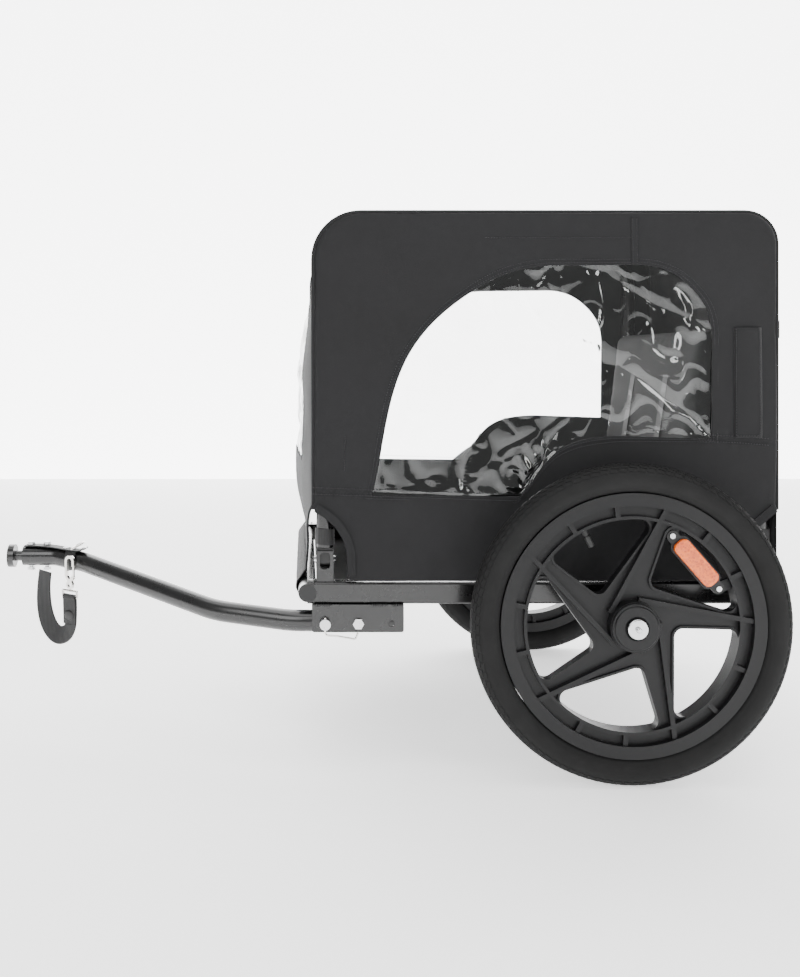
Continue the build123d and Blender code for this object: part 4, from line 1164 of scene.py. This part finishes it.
webbing, tree, shader, where = new_material("black_webbing")
rib = add(
    tree, "ShaderNodeTexWave", {"bands_direction": "Z"}, Vector=where, Scale=210, Distortion=0.3, Detail=1
)
cross = add(
    tree, "ShaderNodeTexWave", {"bands_direction": "X"}, Vector=where, Scale=150, Distortion=0.3, Detail=1
)
both = add(tree, "ShaderNodeMath", {"operation": "ADD"}, _0=rib.outputs["Fac"], _1=cross.outputs["Fac"])
fuzz = add(tree, "ShaderNodeTexNoise", None, Vector=where, Scale=60, Detail=4)
mix = add(
    tree,
    "ShaderNodeMix",
    {"data_type": "RGBA"},
    Factor=fuzz.outputs["Fac"],
    _6=linear("#0B0B0C"),
    _7=linear("#141415"),
)
tree.links.new(mix.outputs[2], shader.inputs["Base Color"])
finish_shader(shader, Roughness=0.62, Sheen_Weight=0.15)
bump(tree, shader, both.outputs[0], 0.6, 0.0005)
finished_node("rear_zip_tape", webbing, edge=0)
dull_zinc, tree, shader, where = new_material("black_oxide_zinc")
worn = add(tree, "ShaderNodeTexNoise", None, Vector=where, Scale=300, Detail=3)
rough = add(tree, "ShaderNodeMapRange", None, Value=worn.outputs["Fac"], To_Min=0.25, To_Max=0.45)
tree.links.new(rough.outputs["Result"], shader.inputs["Roughness"])
finish_shader(shader, Base_Color=linear("#4A4A4B"), Metallic=1.0)
for node in frame["nodes"]:
    if node.startswith("zip_") or node in ("rear_zip_teeth", "rear_zip_stops"):
        finished_node(node, dull_zinc, edge=0.0002)

# ---- floor and seat ---------------------------------------------------------------------------------------
# The floor is coated oxford laced between the rails. Seat and back are 25 to 30 mm foam boards in sewn
# polyester covers, puffed by the foam and piped round their edges.
floor_low, floor_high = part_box("floor_sheet")
mesh = bmesh.new()
bmesh.ops.create_grid(mesh, x_segments=90, y_segments=80, size=0.5)
for vertex in mesh.verts:
    u, v = vertex.co.x + 0.5, vertex.co.y + 0.5
    x = floor_low[0] + (floor_high[0] - floor_low[0]) * u
    y = floor_low[1] + (floor_high[1] - floor_low[1]) * v
    held = smooth(min(u, 1 - u, v, 1 - v), 0, 0.06)
    sag = 0.0016 * noise.noise(Vector((x * 9, y * 9, 6))) + 0.0006 * noise.noise(Vector((x * 30, y * 30, 2)))
    vertex.co = Vector((x, y, floor_high[2] - 0.001 + (sag - 0.001) * held))
face_out(mesh, (0, 0, 1))
floor_piece = shown("floor_cloth_piece", mesh, cloth_m, "frame", angle=60)
thicken(floor_piece, 0.0012)
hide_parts("floor_sheet")

seat_m, tree, shader, where = new_material("padded_polyester")
weft = add(tree, "ShaderNodeTexNoise", None, Vector=where, Scale=700, Detail=2)
fade = add(tree, "ShaderNodeTexNoise", None, Vector=where, Scale=12, Detail=4)
mix = add(
    tree,
    "ShaderNodeMix",
    {"data_type": "RGBA"},
    Factor=fade.outputs["Fac"],
    _6=linear("#0C0C0D"),
    _7=linear("#131314"),
)
tree.links.new(mix.outputs[2], shader.inputs["Base Color"])
finish_shader(shader, Roughness=0.85, Sheen_Weight=0.1)
bump(tree, shader, weft.outputs["Fac"], 0.4, 0.0004)


def foam_pad(node, name):
    """The CAD pad's own shape, remeshed and puffed by pressure as its foam fills its cover."""
    mesh = merged_copy(node)
    pad = shown(name, mesh, seat_m, "frame", angle=80)
    even_up = pad.modifiers.new("even", "REMESH")
    even_up.mode = "VOXEL"
    even_up.voxel_size = 0.006
    even_up.use_smooth_shade = True
    bpy.context.view_layer.objects.active = pad
    bpy.ops.object.modifier_apply(modifier="even")
    puff = pad.modifiers.new("puff", "CLOTH")
    puff.settings.quality = 4
    puff.settings.mass = 0.25
    puff.settings.use_pressure = True
    puff.settings.uniform_pressure_force = 4
    puff.settings.tension_stiffness = 30
    puff.settings.bending_stiffness = 1.5
    puff.settings.effector_weights.gravity = 0
    puff.point_cache.frame_start = 1
    puff.point_cache.frame_end = 20
    rest = [vertex.co.copy() for vertex in pad.data.vertices]
    for number in range(1, 21):
        bpy.context.scene.frame_set(number)
    bpy.ops.object.modifier_apply(modifier="puff")
    bpy.context.scene.frame_set(1)
    for vertex, start in zip(pad.data.vertices, rest):
        move = vertex.co - start
        if move.length > 0.004:
            vertex.co = start + move.normalized() * 0.004
    for polygon in pad.data.polygons:
        polygon.use_smooth = True
    fine = pad.modifiers.new("fine", "SUBSURF")
    fine.levels = 1
    fine.render_levels = 1
    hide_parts(node)
    return pad


seat_low, seat_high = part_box("seat_base")
base_pad = foam_pad("seat_base", "seat_base_pad")
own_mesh(base_pad)
mesh = bmesh.new()
loop = rounded(
    [
        (seat_low[0] + 0.002, seat_low[1] + 0.002, 0.02),
        (seat_high[0] - 0.002, seat_low[1] + 0.002, 0.02),
        (seat_high[0] - 0.002, seat_high[1] - 0.002, 0.02),
        (seat_low[0] + 0.002, seat_high[1] - 0.002, 0.02),
    ]
)
tube_along(mesh, [Vector((s.x, s.y, seat_high[2] - 0.006)) for s in loop + loop[:1]], 0.0022, sides=8)
bmesh.ops.recalc_face_normals(mesh, faces=mesh.faces)
base_piping = shown("seat_base_piping", mesh, cloth_m, "frame")
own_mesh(base_piping)

back_pad = foam_pad("seat_back", "seat_back_pad")
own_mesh(back_pad)

# ---- harness ----------------------------------------------------------------------------------------------
# Two 25 mm shoulder straps come down the seat back and meet a crotch strap in one moulded buckle on the seat.
strap_boxes = [vertex.co for vertex in frame["nodes"]["harness_straps"].data.vertices]
strap_top = max(strap_boxes, key=lambda c: c.z - c.x)
strap_foot = min(strap_boxes, key=lambda c: c.z + c.x * 0.1)
buckle_low, buckle_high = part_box("harness_buckle")
mesh = bmesh.new()
for sign in (-1, 1):
    y = sign * 0.08
    line = [
        Vector((strap_top.x + 0.0005, y, strap_top.z)),
        Vector((strap_foot.x - 0.003, y, strap_foot.z + 0.03)),
        Vector((strap_foot.x - 0.012, y * 0.97, seat_high[2] + 0.013)),
        Vector((strap_foot.x - 0.04, y * 0.75, seat_high[2] + 0.0062)),
        Vector((buckle_high[0] - 0.004, y * 0.14, seat_high[2] + 0.008)),
    ]
    spots = even(line, 0.006)

    def level(i, spots=spots):
        way = spots[min(i + 1, len(spots) - 1)] - spots[max(i - 1, 0)]
        return Vector((-way.y, way.x, 0)) if abs(way.z) < abs(way.x) else Vector((0, 1, 0))

    band(mesh, spots, level, 0.025, 0.0016)
line = [
    Vector((buckle_low[0] + 0.006, 0, seat_high[2] + 0.007)),
    Vector((seat_low[0] + 0.006, 0, seat_high[2] + 0.0052)),
]
band(mesh, even(line, 0.006), lambda i: (0, 1, 0), 0.025, 0.0016)
straps = shown("harness_webbing", mesh, webbing, "frame", angle=50)
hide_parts("harness_straps")
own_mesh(straps)

# Hoop loops: 21 mm webbing sewn round each front leg, which keeps the side panel on its hoop.
for name, sign in (("left", -1), ("right", 1)):
    hoop_low, hoop_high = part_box(f"{name}_hoop")
    mesh = bmesh.new()
    for x in (hoop_low[0] + 0.011, hoop_high[0] - 0.011):
        y = (hoop_low[1] + hoop_high[1]) / 2
        z = 0.2985 if sign < 0 else 0.284
        ring = []
        for k in range(33):
            a = 2 * pi * k / 32
            ring.append(Vector((x + 0.0119 * cos(a), y + 0.0119 * sin(a), z + 0.0006 * sin(2 * a))))
        band(mesh, ring, lambda i: (0, 0, 1), 0.021, 0.0014)
    shown(f"{name}_hoop_loops", mesh, webbing, f"{name}_side", angle=50)

# ---- safety strap -----------------------------------------------------------------------------------------
# 25 mm nylon webbing, 1.6 mm thick: it hangs flat from the coupler's bolts, turns over at the bottom and
# comes up to a steel ring, where it is folded through and sewn under a patch.
stub_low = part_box("hitch_stub")[0]
left_leg = Vector((stub_low[0] + 0.0525, -0.098, 0))
right_leg = Vector((stub_low[0] + 0.095, -0.127, 0))
strap_way = (right_leg - left_leg).normalized()
strap_face = Vector((strap_way.y, -strap_way.x, 0))
apart = (right_leg - left_leg).length


def smooth_line(points, pitch=0.003):
    """A Catmull-Rom curve through points, evenly spaced."""
    points = [Vector(p) for p in points]
    ends = [points[0] * 2 - points[1]] + points + [points[-1] * 2 - points[-2]]
    line = []
    for a, b, c, d in zip(ends, ends[1:], ends[2:], ends[3:]):
        for k in range(12):
            t = k / 12
            square = (a * 2 - b * 5 + c * 4 - d) * t * t
            cube = (b * 3 - a - c * 3 + d) * t**3
            line.append(0.5 * ((b * 2) + (c - a) * t + square + cube))
    line.append(points[-1])
    return even(line, pitch)


path = smooth_line(
    [
        (0.0, 0.2235, 0.0),
        (-0.002, 0.2, 0.001),
        (0.0, 0.175, 0.002),
        (0.006, 0.155, 0.002),
        (0.015, 0.141, 0.001),
        (0.028, 0.1345, 0.0),
        (0.043, 0.1395, -0.001),
        (apart - 0.0005, 0.152, -0.001),
        (apart, 0.168, -0.001),
        (apart, 0.191, 0.0),
    ]
)
spots = [left_leg + strap_way * p.x + strap_face * p.z + Vector((0, 0, p.y)) for p in path]
mesh = bmesh.new()


def in_plane(i, spots=spots):
    """Across the strap, in the plane that it hangs in, with a slight roll at its turn."""
    way = (spots[min(i + 1, len(spots) - 1)] - spots[max(i - 1, 0)]).normalized()
    roll = 0.35 * sin(pi * i / len(spots)) ** 2
    return way.cross(strap_face) + strap_face * roll


band(mesh, spots, in_plane, 0.026, 0.0017)
ring_low, ring_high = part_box("strap_ring")
ring_mid_z = (ring_low[2] + ring_high[2]) / 2
fold = smooth_line(
    [
        (apart, 0.19, -0.0002),
        (apart, ring_low[2] - 0.0004, -0.0018),
        (apart, ring_mid_z - 0.0042, -0.0027),
        (apart, ring_mid_z - 0.0012, -0.0008),
        (apart, ring_mid_z - 0.0022, 0.0022),
        (apart, ring_low[2] - 0.001, 0.003),
        (apart, 0.187, 0.0019),
        (apart, 0.152, 0.0008),
    ],
    0.0014,
)
spots = [left_leg + strap_way * p.x + strap_face * p.z + Vector((0, 0, p.y)) for p in fold]
band(mesh, spots, lambda i: strap_way, 0.0235, 0.0015)
strap = shown("safety_strap_webbing", mesh, webbing, "towbar", angle=50)
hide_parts("safety_strap")
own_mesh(strap)
patch_mesh = bmesh.new()
patch_place = left_leg + strap_way * apart + strap_face * 0.0024 + Vector((0, 0, 0.1665))
turn = Matrix((strap_way, Vector((0, 0, 1)), -strap_face)).transposed().to_4x4()
oval = Matrix.Translation(patch_place) @ turn @ Matrix.Diagonal((0.0095, 0.007, 0.0011, 1))
bmesh.ops.create_uvsphere(patch_mesh, u_segments=32, v_segments=12, radius=1, matrix=oval)
patch = shown("safety_strap_patch", patch_mesh, dark_trim, "towbar")
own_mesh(patch)

# ---- top strap and D-ring ---------------------------------------------------------------------------------
# A short strap lies along the top of the bar from under the coupler bolts' washers and is riveted round a
# steel D-ring, where the snap hook is parked.
bar_data = frame["nodes"]["towbar_tube"].data
bar = BVHTree.FromPolygons([v.co for v in bar_data.vertices], [tuple(f.vertices) for f in bar_data.polygons])
line = []
x = stub_low[0] + 0.024
while x < stub_low[0] + 0.119:
    y = -0.095 - 0.015 * smooth(x, stub_low[0] + 0.03, stub_low[0] + 0.12)
    top = bar.ray_cast(Vector((x, y, 0.4)), Vector((0, 0, -1)))[0]
    if top:
        lift = 0.0012 + 0.007 * smooth(x, stub_low[0] + 0.095, stub_low[0] + 0.12) ** 2
        line.append(top + Vector((0, 0, lift)))
    x += 0.004
mesh = bmesh.new()
band(mesh, smooth_line(line), lambda i: (0.1, 1, 0), 0.019, 0.0017)
shown("coupler_top_strap", mesh, webbing, "towbar", angle=50)
ring_at = line[-6] + Vector((0, 0, 0.0035))
mesh = bmesh.new()
dee = []
for k in range(41):
    a = -pi / 2 + pi * k / 40
    dee.append(ring_at + Vector((0.0165 * cos(a) * 0.92, 0.0135 * sin(a), 0.0075 * cos(a))))
tube_along(mesh, dee, 0.0014, 12)
tube_along(mesh, [dee[0], dee[0].lerp(dee[-1], 0.5), dee[-1]], 0.0014, 12)
bmesh.ops.recalc_face_normals(mesh, faces=mesh.faces)
shown("coupler_dee_ring", mesh, nickel, "towbar")
mesh = bmesh.new()
for spot in (line[-2], line[-9]):
    head = Matrix.Translation(spot + Vector((0, 0, 0.0008))) @ Matrix.Diagonal((0.0036, 0.0036, 0.0017, 1))
    bmesh.ops.create_uvsphere(mesh, u_segments=24, v_segments=10, radius=1, matrix=head)
shown("coupler_strap_rivets", mesh, zinc, "towbar")

# A vinyl band is wound round the bar where the strap ends.
mesh = bmesh.new()
band_x = stub_low[0] + 0.093
band_y = -0.1065
top = bar.ray_cast(Vector((band_x, band_y, 0.4)), Vector((0, 0, -1)))[0].z
low = bar.ray_cast(Vector((band_x, band_y, 0.1)), Vector((0, 0, 1)))[0].z
radius = (top - low) / 2 + 0.0008
ring = []
for k in range(49):
    a = 2 * pi * k / 48
    ring.append(Vector((band_x, band_y + radius * cos(a) * 1.03, (top + low) / 2 + radius * sin(a))))
band(mesh, ring, lambda i: (1, -0.16, 0.12), 0.016, 0.0014)
shown("towbar_band", mesh, webbing, "towbar", angle=50)
